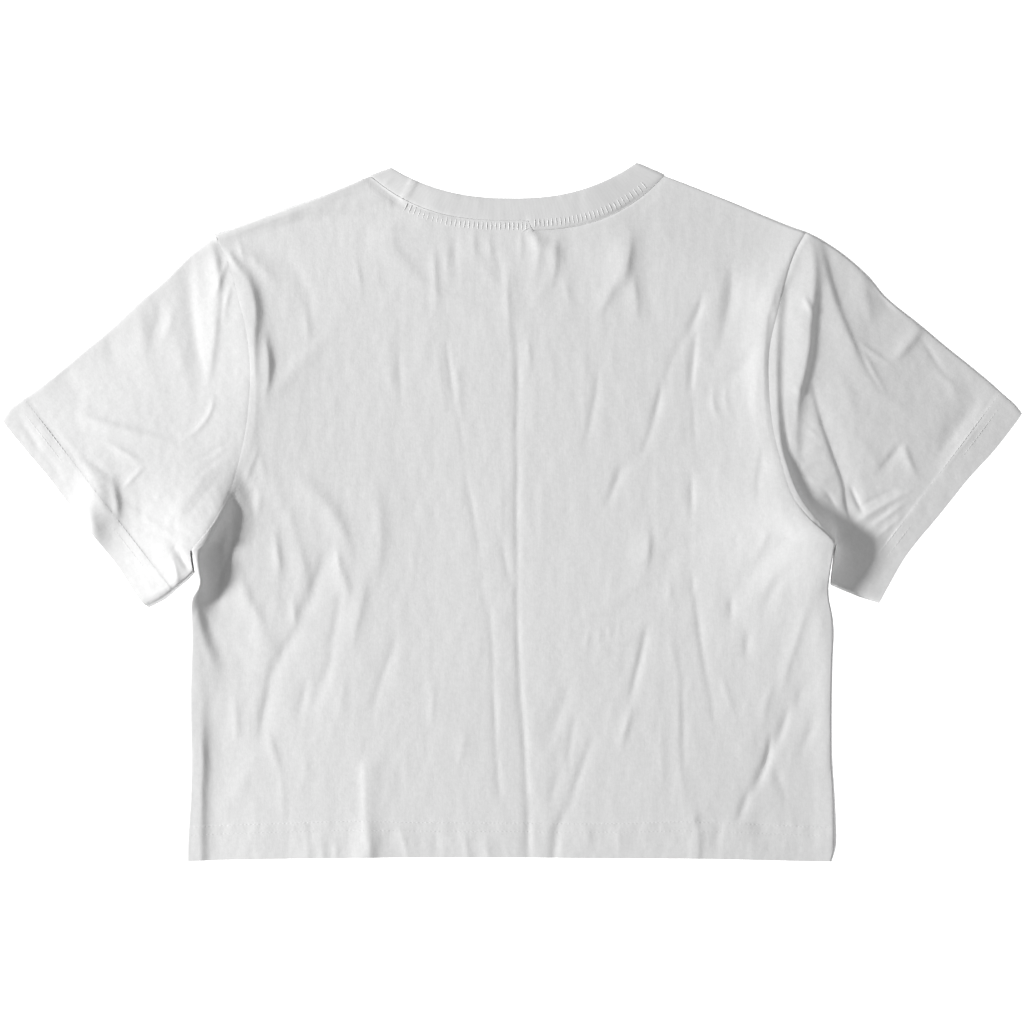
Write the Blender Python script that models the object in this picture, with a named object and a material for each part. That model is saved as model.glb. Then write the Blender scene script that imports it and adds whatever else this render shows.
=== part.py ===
"""A crop top laid flat, back up: a short, boxy T-shirt in cotton jersey.

World frame, in metres: +X towards the wearer's right, +Y towards the neck, +Z up from the
surface that the garment lies on. The origin is on that surface, under the middle of the
garment's box. The sizes and tables below are in millimetres.

Five cut pieces lie in two layers. The front panel, the lower halves of the sleeves and the
front half of the neckband lie flat on the surface. The back panel and the upper halves lie on
them, and carry the folds. Each piece is one closed wall of cloth.
"""

import math
from collections import namedtuple

import bmesh
import bpy
import numpy as np

MM = 0.001

# Cloth
CLOTH = 1.5  # wall of one layer
LAYER_GAP = 0.3  # between two layers that lie on each other
SEAM_GAP = 0.35  # between two pieces at a seam
SLEEVE_OUT = 0.45  # how far a sleeve is moved out to leave that gap along the armhole
SLEEVE_UP = 0.2  # and how far up, because the armhole slants near the underarm
HEM_PLY = 0.6  # how far a turned-up hem stands proud of the panel
HEM_STEP = 1.5  # width of the step where a hem's ply ends
FOLD_ROUND = 1.2  # how far a sleeve's folded edge is rounded in
LOFT = 1.2  # how far the upper layer billows off the lower one
EDGE_FADE = 14.0  # from a folded edge in, over which the upper layer lifts

# Hems and neckband
BODY_HEM = 24.0
SLEEVE_HEM = 22.0
BACK_NECK_SEAM_Y = 208.4  # neck seam at the centre back
BACK_NECK_EDGE_Y = 224.3  # neckband's free edge at the centre back
FRONT_NECK_SEAM_Y = 146.0  # neck seam at the centre front
FRONT_NECK_EDGE_Y = 163.0  # neckband's free edge at the centre front
SEAM_BEND = 2.6  # how sharply the back neck seam turns up at the shoulders
EDGE_BEND = 2.4  # the same for the neckband's free edge
SCOOP_BEND = 0.85  # how round the front scoop is

# Where the pieces' lines meet, as shares of their length or width
UNDERARM_SHARE = 0.5  # the underarm, up the body's edge
NECK_LEFT_SHARE = 0.272  # the neck points, across the body
NECK_RIGHT_SHARE = 0.748
SAG_SHARE = 0.94  # the underarm, down a sleeve's inner end
SEAM_LIFT_SHARE = 0.06  # above the underarm, where the body's edge is free to lift
BAND_LIFT_SHARE = 0.08  # in from its tips, where the neckband is free to lift
FOLD_RUNOUT = 0.25  # share of a fold's length over which each end runs out

# How finely the pieces are divided
SHOULDER_CUTS = 9
NECK_CUTS = 20
SIDE_CUTS = 17
ARMHOLE_CUTS = 15
SLEEVE_CUTS = 11
BAND_TURN_CUTS = 4
FOLD_CUTS = 10

# Edges, a row for each place, with the wearer's left and right side
Edge = namedtuple("Edge", "place left_x left_y right_x right_y")

SIDE = (
    Edge("hem corner", -233.3, -250.5, 229.0, -250.0),
    Edge("hem line", -232.2, -225.0, 232.0, -225.0),
    Edge("waist", -230.6, -180.0, 229.8, -185.0),
    Edge("ribs", -231.0, -150.0, 229.0, -140.0),
    Edge("chest", -230.6, -95.0, 230.0, -90.0),
    Edge("under the tuck", -230.2, -66.0, 229.5, -74.0),
    Edge("tuck", -225.2, -54.0, 226.5, -56.0),
    Edge("above the tuck", -226.4, -43.0, 228.2, -40.0),
    Edge("underarm", -229.0, -28.0, 231.0, -23.0),
)
ARMHOLE = (
    Edge("underarm", -229.0, -28.0, 231.0, -23.0),
    Edge("low", -212.0, -6.5, 214.5, -8.0),
    Edge("curve", -201.5, 14.0, 200.5, 12.0),
    Edge("lower third", -193.5, 42.0, 190.5, 42.0),
    Edge("narrowest", -188.2, 85.0, 185.0, 88.0),
    Edge("upper third", -190.8, 132.0, 189.0, 135.0),
    Edge("high", -199.5, 167.0, 198.5, 172.0),
    Edge("shoulder tip", -213.0, 199.3, 211.0, 200.5),
)
SHOULDER = (
    Edge("shoulder tip", -213.0, 199.3, 211.0, 200.5),
    Edge("outer", -180.0, 211.0, 180.0, 212.5),
    Edge("middle", -150.0, 222.0, 148.0, 225.5),
    Edge("neck point", -106.0, 239.5, 109.0, 240.3),
)
NECK_TIP = Edge("neckband tip", -85.5, 245.2, 88.3, 249.0)
SLEEVE_TOP = (
    Edge("shoulder tip", -213.0, 199.3, 211.0, 200.5),
    Edge("cap", -232.0, 182.5, 234.0, 187.5),
    Edge("bend", -252.0, 162.0, 258.0, 166.0),
    Edge("arm", -290.0, 128.0, 292.0, 134.0),
    Edge("above the hem", -340.0, 88.0, 335.0, 100.0),
    Edge("cuff tip", -365.0, 66.0, 365.0, 71.0),
)
CUFF = (
    Edge("cuff tip", -365.0, 66.0, 365.0, 71.0),
    Edge("upper", -330.0, 25.0, 325.0, 23.0),
    Edge("lower", -290.0, -27.0, 290.0, -20.0),
    Edge("cuff corner", -259.0, -68.5, 262.5, -65.5),
)
# Under the arm the sleeve sags a little way down beside the body
SAG = (
    Edge("underarm", -229.0, -28.0, 231.0, -23.0),
    Edge("lowest, beside the body", -229.6, -43.0, 231.6, -44.0),
)
SLEEVE_UNDER = (
    Edge("lowest, beside the body", -229.6, -43.0, 231.6, -44.0),
    Edge("clear of the body", -238.5, -54.5, 242.0, -55.5),
    Edge("cuff corner", -259.0, -68.5, 262.5, -65.5),
)
Hem = namedtuple("Hem", "x y")
HEM_LINE = (
    Hem(-233.3, -250.5),
    Hem(-200.0, -248.5),
    Hem(-100.0, -247.0),
    Hem(40.0, -247.2),
    Hem(150.0, -248.4),
    Hem(229.0, -250.0),
)

# Folds of the upper layer: a soft hump (or a trough, where the height is negative) along a
# curve through three points, half its height at about 0.8 of its half width
Fold = namedtuple("Fold", "place x0 y0 xm ym x1 y1 half_width height")

FOLDS = (
    # Back panel, upper half
    Fold("left shoulder blade", -178, 74, -132, 124, -74, 164, 18, 4.0),
    Fold("beside left armhole", -178, 184, -172, 150, -176, 96, 10, 3.5),
    Fold("under neckband, left", -78, 198, -70, 176, -56, 156, 11, 2.2),
    Fold("under neckband, middle", 18, 204, 25, 184, 22, 160, 10, 2.4),
    Fold("under neckband, right", 84, 206, 74, 172, 54, 128, 13, 4.6),
    Fold("right shoulder blade", 196, 188, 178, 150, 166, 104, 16, 6.5),
    Fold("trough beside it", 160, 182, 154, 140, 146, 112, 10, -2.5),
    Fold("right diagonal", 128, 158, 104, 84, 60, -4, 13, 4.2),
    Fold("right middle", 62, 112, 52, 70, 40, 34, 11, 2.2),
    Fold("beside right armhole", 176, 62, 173, 30, 175, -2, 11, 3.2),
    Fold("centre, upper", -2, 178, -2, 120, 1, 52, 11, 2.6),
    Fold("left middle, upper", -54, 132, -44, 76, -32, 10, 11, 3.0),
    # Back panel, lower half
    Fold("centre, middle", 0, 48, 1, -10, 1, -66, 10, 2.4),
    Fold("left middle, lower", -30, 8, -24, -40, -18, -96, 11, 2.8),
    Fold("centre, lower", 3, -62, 5, -150, 9, -249, 12, 2.6),
    Fold("left chest", -97, 14, -99, -20, -95, -58, 12, 3.0),
    Fold("left flank, long", -126, -26, -148, -88, -176, -168, 14, 6.0),
    Fold("left flank, inner", -103, -34, -118, -82, -150, -150, 12, 4.2),
    Fold("left flank, outer", -168, 44, -146, 12, -116, -18, 12, 3.4),
    Fold("left side", -184, -48, -176, -84, -182, -132, 12, 3.0),
    Fold("left edge", -214, -104, -212, -158, -216, -236, 11, 4.2),
    Fold("left belly", -80, -86, -98, -126, -104, -160, 11, 3.0),
    Fold("left hem ridge", -107, -176, -107, -212, -107, -250, 10, 6.0),
    Fold("right belly", 96, -12, 88, -82, 74, -146, 12, 4.4),
    Fold("right flank, inner", 124, -38, 131, -86, 138, -136, 11, 4.0),
    Fold("right flank, outer", 196, -6, 176, -46, 156, -84, 13, 4.4),
    Fold("right side, long", 214, -48, 198, -100, 180, -160, 13, 5.6),
    Fold("right waist", 196, -138, 182, -180, 160, -226, 12, 5.2),
    Fold("right belly, soft", 122, -146, 120, -178, 126, -222, 13, 2.4),
    Fold("right hem, slanting", 58, -158, 44, -200, 32, -248, 11, 3.0),
    Fold("right hem pucker", 128, -206, 129, -230, 129, -250, 10, 3.6),
    # Left sleeve
    Fold("left sleeve, beside seam", -216, 190, -219, 140, -218, 84, 11, 6.5),
    Fold("left sleeve, middle", -270, 146, -263, 116, -264, 78, 15, 3.0),
    Fold("left sleeve, curved", -306, 78, -276, 66, -234, 52, 11, 3.2),
    Fold("left sleeve, pointed", -292, 44, -272, 26, -288, -2, 12, 3.4),
    Fold("left sleeve, above underarm", -214, 38, -224, 20, -240, 0, 10, 5.6),
    Fold("left sleeve, underarm", -216, 4, -228, -12, -246, -26, 10, 6.6),
    Fold("left sleeve, curl", -236, -30, -232, -42, -236, -54, 10, 7.5),
    # Right sleeve
    Fold("right sleeve, beside seam", 210, 196, 204, 140, 202, 58, 10, 7.5),
    Fold("right sleeve, second", 234, 182, 232, 144, 226, 92, 11, 6.5),
    Fold("right sleeve, third", 256, 150, 262, 118, 276, 84, 12, 5.0),
    Fold("right sleeve, outer", 292, 138, 300, 112, 316, 86, 12, 3.0),
    Fold("right sleeve, down", 216, 78, 236, 34, 250, -14, 12, 6.0),
    Fold("right sleeve, roof", 262, 26, 282, 46, 298, 22, 11, 4.2),
    Fold("right sleeve, by the hem", 330, 84, 318, 52, 300, 20, 12, 3.0),
    Fold("right sleeve, underarm", 212, 30, 208, 4, 222, -18, 10, 7.5),
)

Cloth = namedtuple("Cloth", "colour roughness")
JERSEY = Cloth((0.71, 0.71, 0.71, 1.0), 0.92)
RIB = Cloth((0.68, 0.68, 0.68, 1.0), 0.9)


def smooth(value):
    """Ease from 0 to 1, held flat outside."""
    held = min(max(value, 0.0), 1.0)
    return held * held * (3.0 - 2.0 * held)


def side_points(rows, side):
    """One side's points of a table of edges; side is -1 on the left and 1 on the right."""
    if side < 0:
        return [np.array((row.left_x, row.left_y)) for row in rows]
    return [np.array((row.right_x, row.right_y)) for row in rows]


def curve(points):
    """A function from 0..1 to a smooth curve through the points, even in chord length."""
    steps = [float(np.linalg.norm(b - a)) for a, b in zip(points, points[1:])]
    reach = np.concatenate(((0.0,), np.cumsum(steps)))
    slopes = []
    for k, point in enumerate(points):
        before = max(k - 1, 0)
        after = min(k + 1, len(points) - 1)
        slopes.append((points[after] - points[before]) / (reach[after] - reach[before]))

    def at(share):
        along = share * reach[-1]
        k = min(int(np.searchsorted(reach, along, side="right")) - 1, len(points) - 2)
        span = reach[k + 1] - reach[k]
        t = (along - reach[k]) / span
        start = (2 * t**3 - 3 * t**2 + 1) * points[k] + (t**3 - 2 * t**2 + t) * span * slopes[k]
        end = (3 * t**2 - 2 * t**3) * points[k + 1] + (t**3 - t**2) * span * slopes[k + 1]
        return start + end

    return at


def patch(south, north, west, east):
    """A point of the four-sided piece of cloth between its edges, at u across and v up."""

    def at(u, v):
        rails = (1 - v) * south(u) + v * north(u) + (1 - u) * west(v) + u * east(v)
        low = (1 - u) * south(0.0) + u * south(1.0)
        high = (1 - u) * north(0.0) + u * north(1.0)
        return rails - (1 - v) * low - v * high

    return at


def hump(spot, fold):
    """Height that one fold adds at a spot: round across its line, running out at its ends."""
    start = np.array((fold.x0, fold.y0), float)
    middle = np.array((fold.xm, fold.ym), float)
    end = np.array((fold.x1, fold.y1), float)
    pull = 2.0 * middle - 0.5 * (start + end)
    shares = np.linspace(0.0, 1.0, FOLD_CUTS + 1)[:, None]
    line = (1 - shares) ** 2 * start + 2 * shares * (1 - shares) * pull + shares**2 * end
    steps = line[1:] - line[:-1]
    along = ((spot - line[:-1]) * steps).sum(axis=1) / (steps * steps).sum(axis=1)
    along = np.clip(along, 0.0, 1.0)
    gaps = np.linalg.norm(line[:-1] + along[:, None] * steps - spot, axis=1)
    k = int(gaps.argmin())
    share = (k + along[k]) / FOLD_CUTS
    taper = smooth(share / FOLD_RUNOUT) * smooth((1.0 - share) / FOLD_RUNOUT)
    return fold.height * taper * math.exp(-((gaps[k] / fold.half_width) ** 2))


def lift(spot, to_fold):
    """How far the upper layer stands off the lower one at a spot, to_fold from a folded edge."""
    raised = LOFT + sum(hump(spot, fold) for fold in FOLDS)
    return max(raised, 0.0) * smooth(to_fold / EDGE_FADE)


def side_and_armhole(side):
    """The body's edge from the hem corner up to the shoulder tip."""
    low = curve(side_points(SIDE, side))
    high = curve(side_points(ARMHOLE, side))

    def at(v):
        if v <= UNDERARM_SHARE:
            return low(v / UNDERARM_SHARE)
        return high((v - UNDERARM_SHARE) / (1.0 - UNDERARM_SHARE))

    return at


def shoulder(side):
    """One shoulder seam, from the shoulder tip in to the neckband."""
    return curve(side_points(SHOULDER, side))


def back_seam_at(share):
    """The back neck seam, from the left neck point to the right one."""
    left, right = SHOULDER[-1].left_x, SHOULDER[-1].right_x
    x = left + share * (right - left)
    end_x, end_y = (left, SHOULDER[-1].left_y) if x < 0 else (right, SHOULDER[-1].right_y)
    rise = (end_y - BACK_NECK_SEAM_Y) * abs(x / end_x) ** SEAM_BEND
    return np.array((x, BACK_NECK_SEAM_Y + rise))


def back_edge_at(share):
    """The neckband's free edge across the back, from its left tip to its right one."""
    x = NECK_TIP.left_x + share * (NECK_TIP.right_x - NECK_TIP.left_x)
    if x < 0:
        end_x, end_y = NECK_TIP.left_x, NECK_TIP.left_y
    else:
        end_x, end_y = NECK_TIP.right_x, NECK_TIP.right_y
    rise = (end_y - BACK_NECK_EDGE_Y) * abs(x / end_x) ** EDGE_BEND
    return np.array((x, BACK_NECK_EDGE_Y + rise))


def scoop(left, right, lowest_y):
    """A round front neckline from a left point to a right one, through its lowest height."""

    def at(share):
        turn = math.pi * (share - 0.5)
        end = left if turn < 0 else right
        x = abs(math.sin(turn)) * end[0]
        y = end[1] - (end[1] - lowest_y) * math.cos(turn) ** SCOOP_BEND
        return np.array((x, y))

    return at


def neck_points():
    """The two places where the shoulder seams meet the neckband."""
    return side_points(SHOULDER, -1)[-1], side_points(SHOULDER, 1)[-1]


def front_seam():
    """The front neck seam, from the left neck point to the right one."""
    left, right = neck_points()
    return scoop(left, right, FRONT_NECK_SEAM_Y)


def front_edge():
    """The neckband's free edge across the front, from its left tip to its right one."""
    left, right = side_points((NECK_TIP,), -1)[0], side_points((NECK_TIP,), 1)[0]
    return scoop(left, right, FRONT_NECK_EDGE_Y)


def top_edge(neck):
    """A panel's upper edge: a shoulder, the neck, and the other shoulder."""
    left = shoulder(-1)
    right = shoulder(1)

    def at(u):
        if u < NECK_LEFT_SHARE:
            return left(u / NECK_LEFT_SHARE)
        if u > NECK_RIGHT_SHARE:
            return right((1.0 - u) / (1.0 - NECK_RIGHT_SHARE))
        return neck((u - NECK_LEFT_SHARE) / (NECK_RIGHT_SHARE - NECK_LEFT_SHARE))

    return at


def stretch(start, end, cuts):
    """Even shares from start to end, both included."""
    return [start + (end - start) * k / cuts for k in range(cuts + 1)]


def across_shares():
    """Where the body's grid lines cross it, with one at each neck point."""
    left = stretch(0.0, NECK_LEFT_SHARE, SHOULDER_CUTS)
    neck = stretch(NECK_LEFT_SHARE, NECK_RIGHT_SHARE, NECK_CUTS)
    right = stretch(NECK_RIGHT_SHARE, 1.0, SHOULDER_CUTS)
    return left + neck[1:] + right[1:]


def up_shares():
    """Where they run up it, with lines at the hem's ply and at the underarm."""
    side_length = SIDE[-1].left_y - SIDE[0].left_y
    ply = UNDERARM_SHARE * BODY_HEM / side_length
    step = UNDERARM_SHARE * (BODY_HEM + HEM_STEP) / side_length
    low = stretch(step, UNDERARM_SHARE, SIDE_CUTS)
    high = stretch(UNDERARM_SHARE, 1.0, ARMHOLE_CUTS)
    return [0.0, 0.5 * ply, ply] + low + high[1:]


def new_object(name, bm, cloth):
    """Make the finished mesh an object with its own cloth material."""
    bmesh.ops.recalc_face_normals(bm, faces=bm.faces)
    mesh = bpy.data.meshes.new(name)
    bm.to_mesh(mesh)
    bm.free()
    mesh.shade_smooth()
    mesh.set_sharp_from_angle(angle=math.radians(50.0))
    material = bpy.data.materials.new(name)
    material.use_nodes = True
    shader = material.node_tree.nodes["Principled BSDF"]
    shader.inputs["Base Color"].default_value = cloth.colour
    shader.inputs["Roughness"].default_value = cloth.roughness
    shader.inputs["Metallic"].default_value = 0.0
    mesh.materials.append(material)
    piece = bpy.data.objects.new(name, mesh)
    bpy.context.scene.collection.objects.link(piece)
    return piece


def placed_grid(columns, rows, place):
    """A bmesh grid whose corners are put where place(column, row) says, in millimetres."""
    bm = bmesh.new()
    bmesh.ops.create_grid(bm, x_segments=columns - 1, y_segments=rows - 1, size=1.0)
    for vert in bm.verts:
        column = round((vert.co.x + 1.0) / 2.0 * (columns - 1))
        row = round((vert.co.y + 1.0) / 2.0 * (rows - 1))
        vert.co = [MM * size for size in place(column, row)]
    return bm


def fall(bm, depth):
    """Give a sheet its wall, straight down by depth millimetres."""
    bmesh.ops.reverse_faces(bm, faces=bm.faces)
    grown = bmesh.ops.extrude_face_region(bm, geom=bm.faces[:])
    verts = [item for item in grown["geom"] if isinstance(item, bmesh.types.BMVert)]
    bmesh.ops.translate(bm, verts=verts, vec=(0.0, 0.0, depth * MM))


def make_back():
    """The back panel: one sheet from hem to neck seam, with the folds and the turned hem."""
    hem = curve([np.array(point, float) for point in HEM_LINE])
    body = patch(hem, top_edge(back_seam_at), side_and_armhole(-1), side_and_armhole(1))
    across = across_shares()
    up = up_shares()
    hem_rows = 3

    def place(column, row):
        u, v = across[column], up[row]
        spot = body(u, v)
        width = body(1.0, v)[0] - body(0.0, v)[0]
        to_side = min(u, 1.0 - u) * width
        if v > UNDERARM_SHARE:
            # Above the underarm the edge is a seam with the sleeve, not a fold
            to_side += EDGE_FADE * (v - UNDERARM_SHARE) / SEAM_LIFT_SHARE
        on_shoulder = u < NECK_LEFT_SHARE or u > NECK_RIGHT_SHARE
        to_top = top_edge(back_seam_at)(u)[1] - spot[1] if on_shoulder else EDGE_FADE
        ply = HEM_PLY if row < hem_rows else 0.0
        raised = lift(spot, min(to_side, to_top)) + ply
        return spot[0], spot[1], CLOTH + LAYER_GAP + raised

    bm = placed_grid(len(across), len(up), place)
    fall(bm, CLOTH)
    return new_object("back", bm, JERSEY)


def make_front():
    """The front panel: flat on the surface, the back's outline with a deeper neck."""
    hem = curve([np.array(point, float) for point in HEM_LINE])
    top = top_edge(front_seam())
    left = side_and_armhole(-1)
    right = side_and_armhole(1)
    across = across_shares()
    up = up_shares()
    outline = [hem(u) for u in across]
    outline += [right(v) for v in up[1:]]
    outline += [top(u) for u in reversed(across[:-1])]
    outline += [left(v) for v in reversed(up[1:-1])]
    bm = bmesh.new()
    verts = [bm.verts.new((x * MM, y * MM, 0.0)) for x, y in outline]
    bm.faces.new(verts)
    fall(bm, CLOTH)
    return new_object("front", bm, JERSEY)


def inner_end(side):
    """A sleeve's inner end: down the armhole from the shoulder tip, then the sag under it."""
    armhole = curve(side_points(ARMHOLE, side))
    sag = curve(side_points(SAG, side))

    def at(v):
        if v <= SAG_SHARE:
            return armhole(1.0 - v / SAG_SHARE)
        return sag((v - SAG_SHARE) / (1.0 - SAG_SHARE))

    return at


def make_sleeve(name, side):
    """One sleeve: a flattened tube of cloth, open at the armhole and at the cuff."""
    shift = np.array((side * SLEEVE_OUT, SLEEVE_UP))
    top = curve(side_points(SLEEVE_TOP, side))
    under = curve(side_points(SLEEVE_UNDER, side))
    cuff = curve(side_points(CUFF, side))
    sleeve = patch(top, under, inner_end(side), cuff)

    length = float(np.linalg.norm(cuff(0.5) - inner_end(side)(0.5)))
    ply = 1.0 - SLEEVE_HEM / length
    body_cuts = stretch(0.0, ply - HEM_STEP / length, SLEEVE_CUTS)
    along = body_cuts + [ply, 0.5 * (1.0 + ply), 1.0]
    hem_from = len(body_cuts)
    across = stretch(0.0, SAG_SHARE, ARMHOLE_CUTS) + [0.5 * (1.0 + SAG_SHARE), 1.0]
    # Down the outside from armhole to cuff, then back up the inside
    profile = [(k, 0) for k in range(len(along))] + [(k, 1) for k in reversed(range(len(along)))]
    # Round the tube: over the upper layer, round the under edge, and back beneath
    around = [(v, "upper") for v in across] + [(1.0, "turn")]
    around += [(v, "lower") for v in reversed(across)] + [(0.0, "turn")]

    def place(column, row):
        k, inner = profile[column % len(profile)]
        v, layer = around[row % len(around)]
        u = along[k]
        width = float(np.linalg.norm(sleeve(u, 1.0) - sleeve(u, 0.0)))
        inset = CLOTH * inner
        if layer != "turn":
            inset += FOLD_ROUND
        spot = sleeve(u, min(max(v, inset / width), 1.0 - inset / width)) + shift
        raised = lift(spot, min(v, 1.0 - v) * width)
        if layer == "turn":
            z = CLOTH + 0.5 * LAYER_GAP
        elif layer == "lower":
            z = CLOTH * inner
        else:
            z = CLOTH + LAYER_GAP + raised
            if not inner:
                z += CLOTH + (HEM_PLY if k >= hem_from else 0.0)
        return spot[0], spot[1], z

    bm = placed_grid(len(profile) + 1, len(around) + 1, place)
    bmesh.ops.remove_doubles(bm, verts=bm.verts, dist=1e-6)
    return new_object(name, bm, JERSEY)


def make_neckband():
    """The neckband: one ring, its back half above, folded at the tips to its front half."""
    left_neck, right_neck = neck_points()
    left_tip, right_tip = side_points((NECK_TIP,), -1)[0], side_points((NECK_TIP,), 1)[0]
    turn_radius = CLOTH + 0.5 * LAYER_GAP
    shares = stretch(0.0, 1.0, NECK_CUTS)
    turns = stretch(90.0, -90.0, BAND_TURN_CUTS)[1:-1]
    # Left to right over the back, round the right tip, back beneath, and round the left tip
    stations = [("back", share) for share in shares] + [("right", turn) for turn in turns]
    stations += [("front", share) for share in reversed(shares)]
    stations += [("left", turn) for turn in reversed(turns)]
    # A station's corners: outside at the seam and at the free edge, then inside at both
    corners = ((0.0, 0), (0.5, 0), (1.0, 0), (1.0, 1), (0.5, 1), (0.0, 1))
    seams = {"back": back_seam_at, "front": front_seam()}
    edges = {"back": back_edge_at, "front": front_edge()}

    def place(column, row):
        part, value = stations[column % len(stations)]
        across, inner = corners[row % len(corners)]
        if part in seams:
            seam, edge = seams[part](value), edges[part](value)
        else:
            seam = left_neck if part == "left" else right_neck
            edge = left_tip if part == "left" else right_tip
        inward = (edge - seam) / np.linalg.norm(edge - seam)
        spot = seam + SEAM_GAP * inward + across * (edge - seam - SEAM_GAP * inward)
        if part == "back":
            raised = lift(spot, EDGE_FADE * min(value, 1.0 - value) / BAND_LIFT_SHARE)
            return spot[0], spot[1], CLOTH + LAYER_GAP + raised + CLOTH * (1 - inner)
        if part == "front":
            return spot[0], spot[1], CLOTH * inner
        radius = turn_radius - CLOTH * inner
        side = -1.0 if part == "left" else 1.0
        outward = np.array((-inward[1], inward[0])) * -side
        spot = spot + outward * radius * math.cos(math.radians(value))
        return spot[0], spot[1], turn_radius + radius * math.sin(math.radians(value))

    bm = placed_grid(len(stations) + 1, len(corners) + 1, place)
    bmesh.ops.remove_doubles(bm, verts=bm.verts, dist=1e-6)
    return new_object("neckband", bm, RIB)


def main():
    """Clear the scene and make the five pieces."""
    for old in list(bpy.data.objects):
        bpy.data.objects.remove(old, do_unlink=True)
    make_front()
    make_back()
    make_sleeve("sleeve_left", -1)
    make_sleeve("sleeve_right", 1)
    make_neckband()


main()
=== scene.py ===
"""Looks of the crop top: a short, boxy cotton T-shirt laid flat on a pale floor, back up.

World frame, in metres: +X towards the wearer's right, +Y towards the neck, +Z up. The tables
are in millimetres. Two layers of cloth lie on each other: front panel and lower halves of the
sleeves beneath, back panel and upper halves above. The upper layer takes its height from one
table of creases, so folds run on across the seams.
"""

import math
from collections import namedtuple

import bmesh
import bpy
import numpy as np
from bpy.props import FloatProperty, FloatVectorProperty, PointerProperty
from mathutils import Matrix, Vector


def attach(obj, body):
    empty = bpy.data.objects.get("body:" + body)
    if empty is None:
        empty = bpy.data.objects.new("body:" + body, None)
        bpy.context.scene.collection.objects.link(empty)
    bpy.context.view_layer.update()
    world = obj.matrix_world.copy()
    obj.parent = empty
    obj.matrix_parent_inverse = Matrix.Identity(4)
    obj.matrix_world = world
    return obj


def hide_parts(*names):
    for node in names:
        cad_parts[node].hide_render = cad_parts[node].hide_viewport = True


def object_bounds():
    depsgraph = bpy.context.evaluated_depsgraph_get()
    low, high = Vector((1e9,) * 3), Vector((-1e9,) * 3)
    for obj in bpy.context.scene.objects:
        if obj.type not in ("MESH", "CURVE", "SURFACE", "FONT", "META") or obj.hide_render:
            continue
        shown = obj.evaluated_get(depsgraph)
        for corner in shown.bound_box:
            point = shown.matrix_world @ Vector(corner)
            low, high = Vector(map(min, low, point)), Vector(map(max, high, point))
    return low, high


bl_info = {
    "name": "Crop Top",
    "version": (1, 0, 0),
    "blender": (4, 5, 0),
    "location": "3D View > Sidebar > Crop Top",
    "description": "Cuts, sews and lights a cropped T-shirt laid flat",
    "category": "Object",
}

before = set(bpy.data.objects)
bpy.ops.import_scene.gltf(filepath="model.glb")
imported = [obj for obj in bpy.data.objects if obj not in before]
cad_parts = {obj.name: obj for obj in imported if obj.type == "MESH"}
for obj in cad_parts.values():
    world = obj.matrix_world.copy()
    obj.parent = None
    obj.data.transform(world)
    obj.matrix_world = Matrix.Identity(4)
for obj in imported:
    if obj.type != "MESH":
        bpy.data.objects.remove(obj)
CAD_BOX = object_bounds()
MM = 0.001

# ---------------------------------------------------------------- the cut, in millimetres

Edge = namedtuple("Edge", "left_x left_y right_x right_y")

# Where the edges meet
HEM_CORNER = Edge(-233.3, -249.7, 228.8, -249.9)
UNDERARM = Edge(-229.0, -28.0, 231.0, -23.0)
SHOULDER_TIP = Edge(-213.0, 199.3, 211.0, 200.5)
NECK_POINT = Edge(-101.5, 240.2, 109.0, 240.6)
NECK_TIP = Edge(-85.5, 245.8, 88.3, 249.4)
CUFF_TOP = Edge(-364.8, 66.0, 364.8, 70.6)
CUFF_END = Edge(-259.5, -68.4, 262.5, -65.4)
SLEEVE_END = Edge(-226.8, -43.4, 227.6, -52.0)

# Body, from the hem corner up to the underarm, then up the armhole to the shoulder tip
SIDE = (
    HEM_CORNER,
    Edge(-232.6, -228.0, 231.9, -238.0),
    Edge(-231.0, -206.0, 231.8, -220.0),
    Edge(-230.4, -177.0, 230.8, -200.0),
    Edge(-231.0, -150.0, 229.4, -178.0),
    Edge(-231.0, -122.0, 229.0, -148.0),
    Edge(-230.0, -92.0, 229.6, -104.0),
    Edge(-230.3, -68.0, 230.4, -86.0),
    Edge(-229.0, -61.0, 229.3, -74.0),
    Edge(-225.6, -56.0, 227.0, -63.0),
    Edge(-223.6, -50.0, 226.4, -55.0),
    Edge(-225.6, -42.0, 227.8, -42.0),
    UNDERARM,
)
ARMHOLE = (
    UNDERARM,
    Edge(-219.0, -17.0, 221.8, -14.5),
    Edge(-210.0, -3.5, 210.3, -3.5),
    Edge(-201.0, 15.0, 199.8, 12.0),
    Edge(-195.0, 36.0, 192.8, 33.0),
    Edge(-190.0, 60.0, 186.0, 62.0),
    Edge(-187.2, 92.0, 183.2, 95.0),
    Edge(-188.0, 115.0, 184.2, 119.0),
    Edge(-192.5, 140.0, 189.0, 140.0),
    Edge(-199.0, 165.0, 195.8, 166.0),
    Edge(-205.5, 184.0, 202.0, 185.0),
    SHOULDER_TIP,
)
SHOULDER = (
    SHOULDER_TIP,
    Edge(-200.0, 203.6, 200.0, 204.2),
    Edge(-180.0, 211.0, 180.0, 212.2),
    Edge(-160.0, 218.4, 160.0, 220.6),
    Edge(-140.0, 225.0, 140.0, 228.5),
    Edge(-120.0, 232.8, 122.0, 235.6),
    Edge(-108.0, 238.0, 114.0, 238.6),
    NECK_POINT,
)
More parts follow.
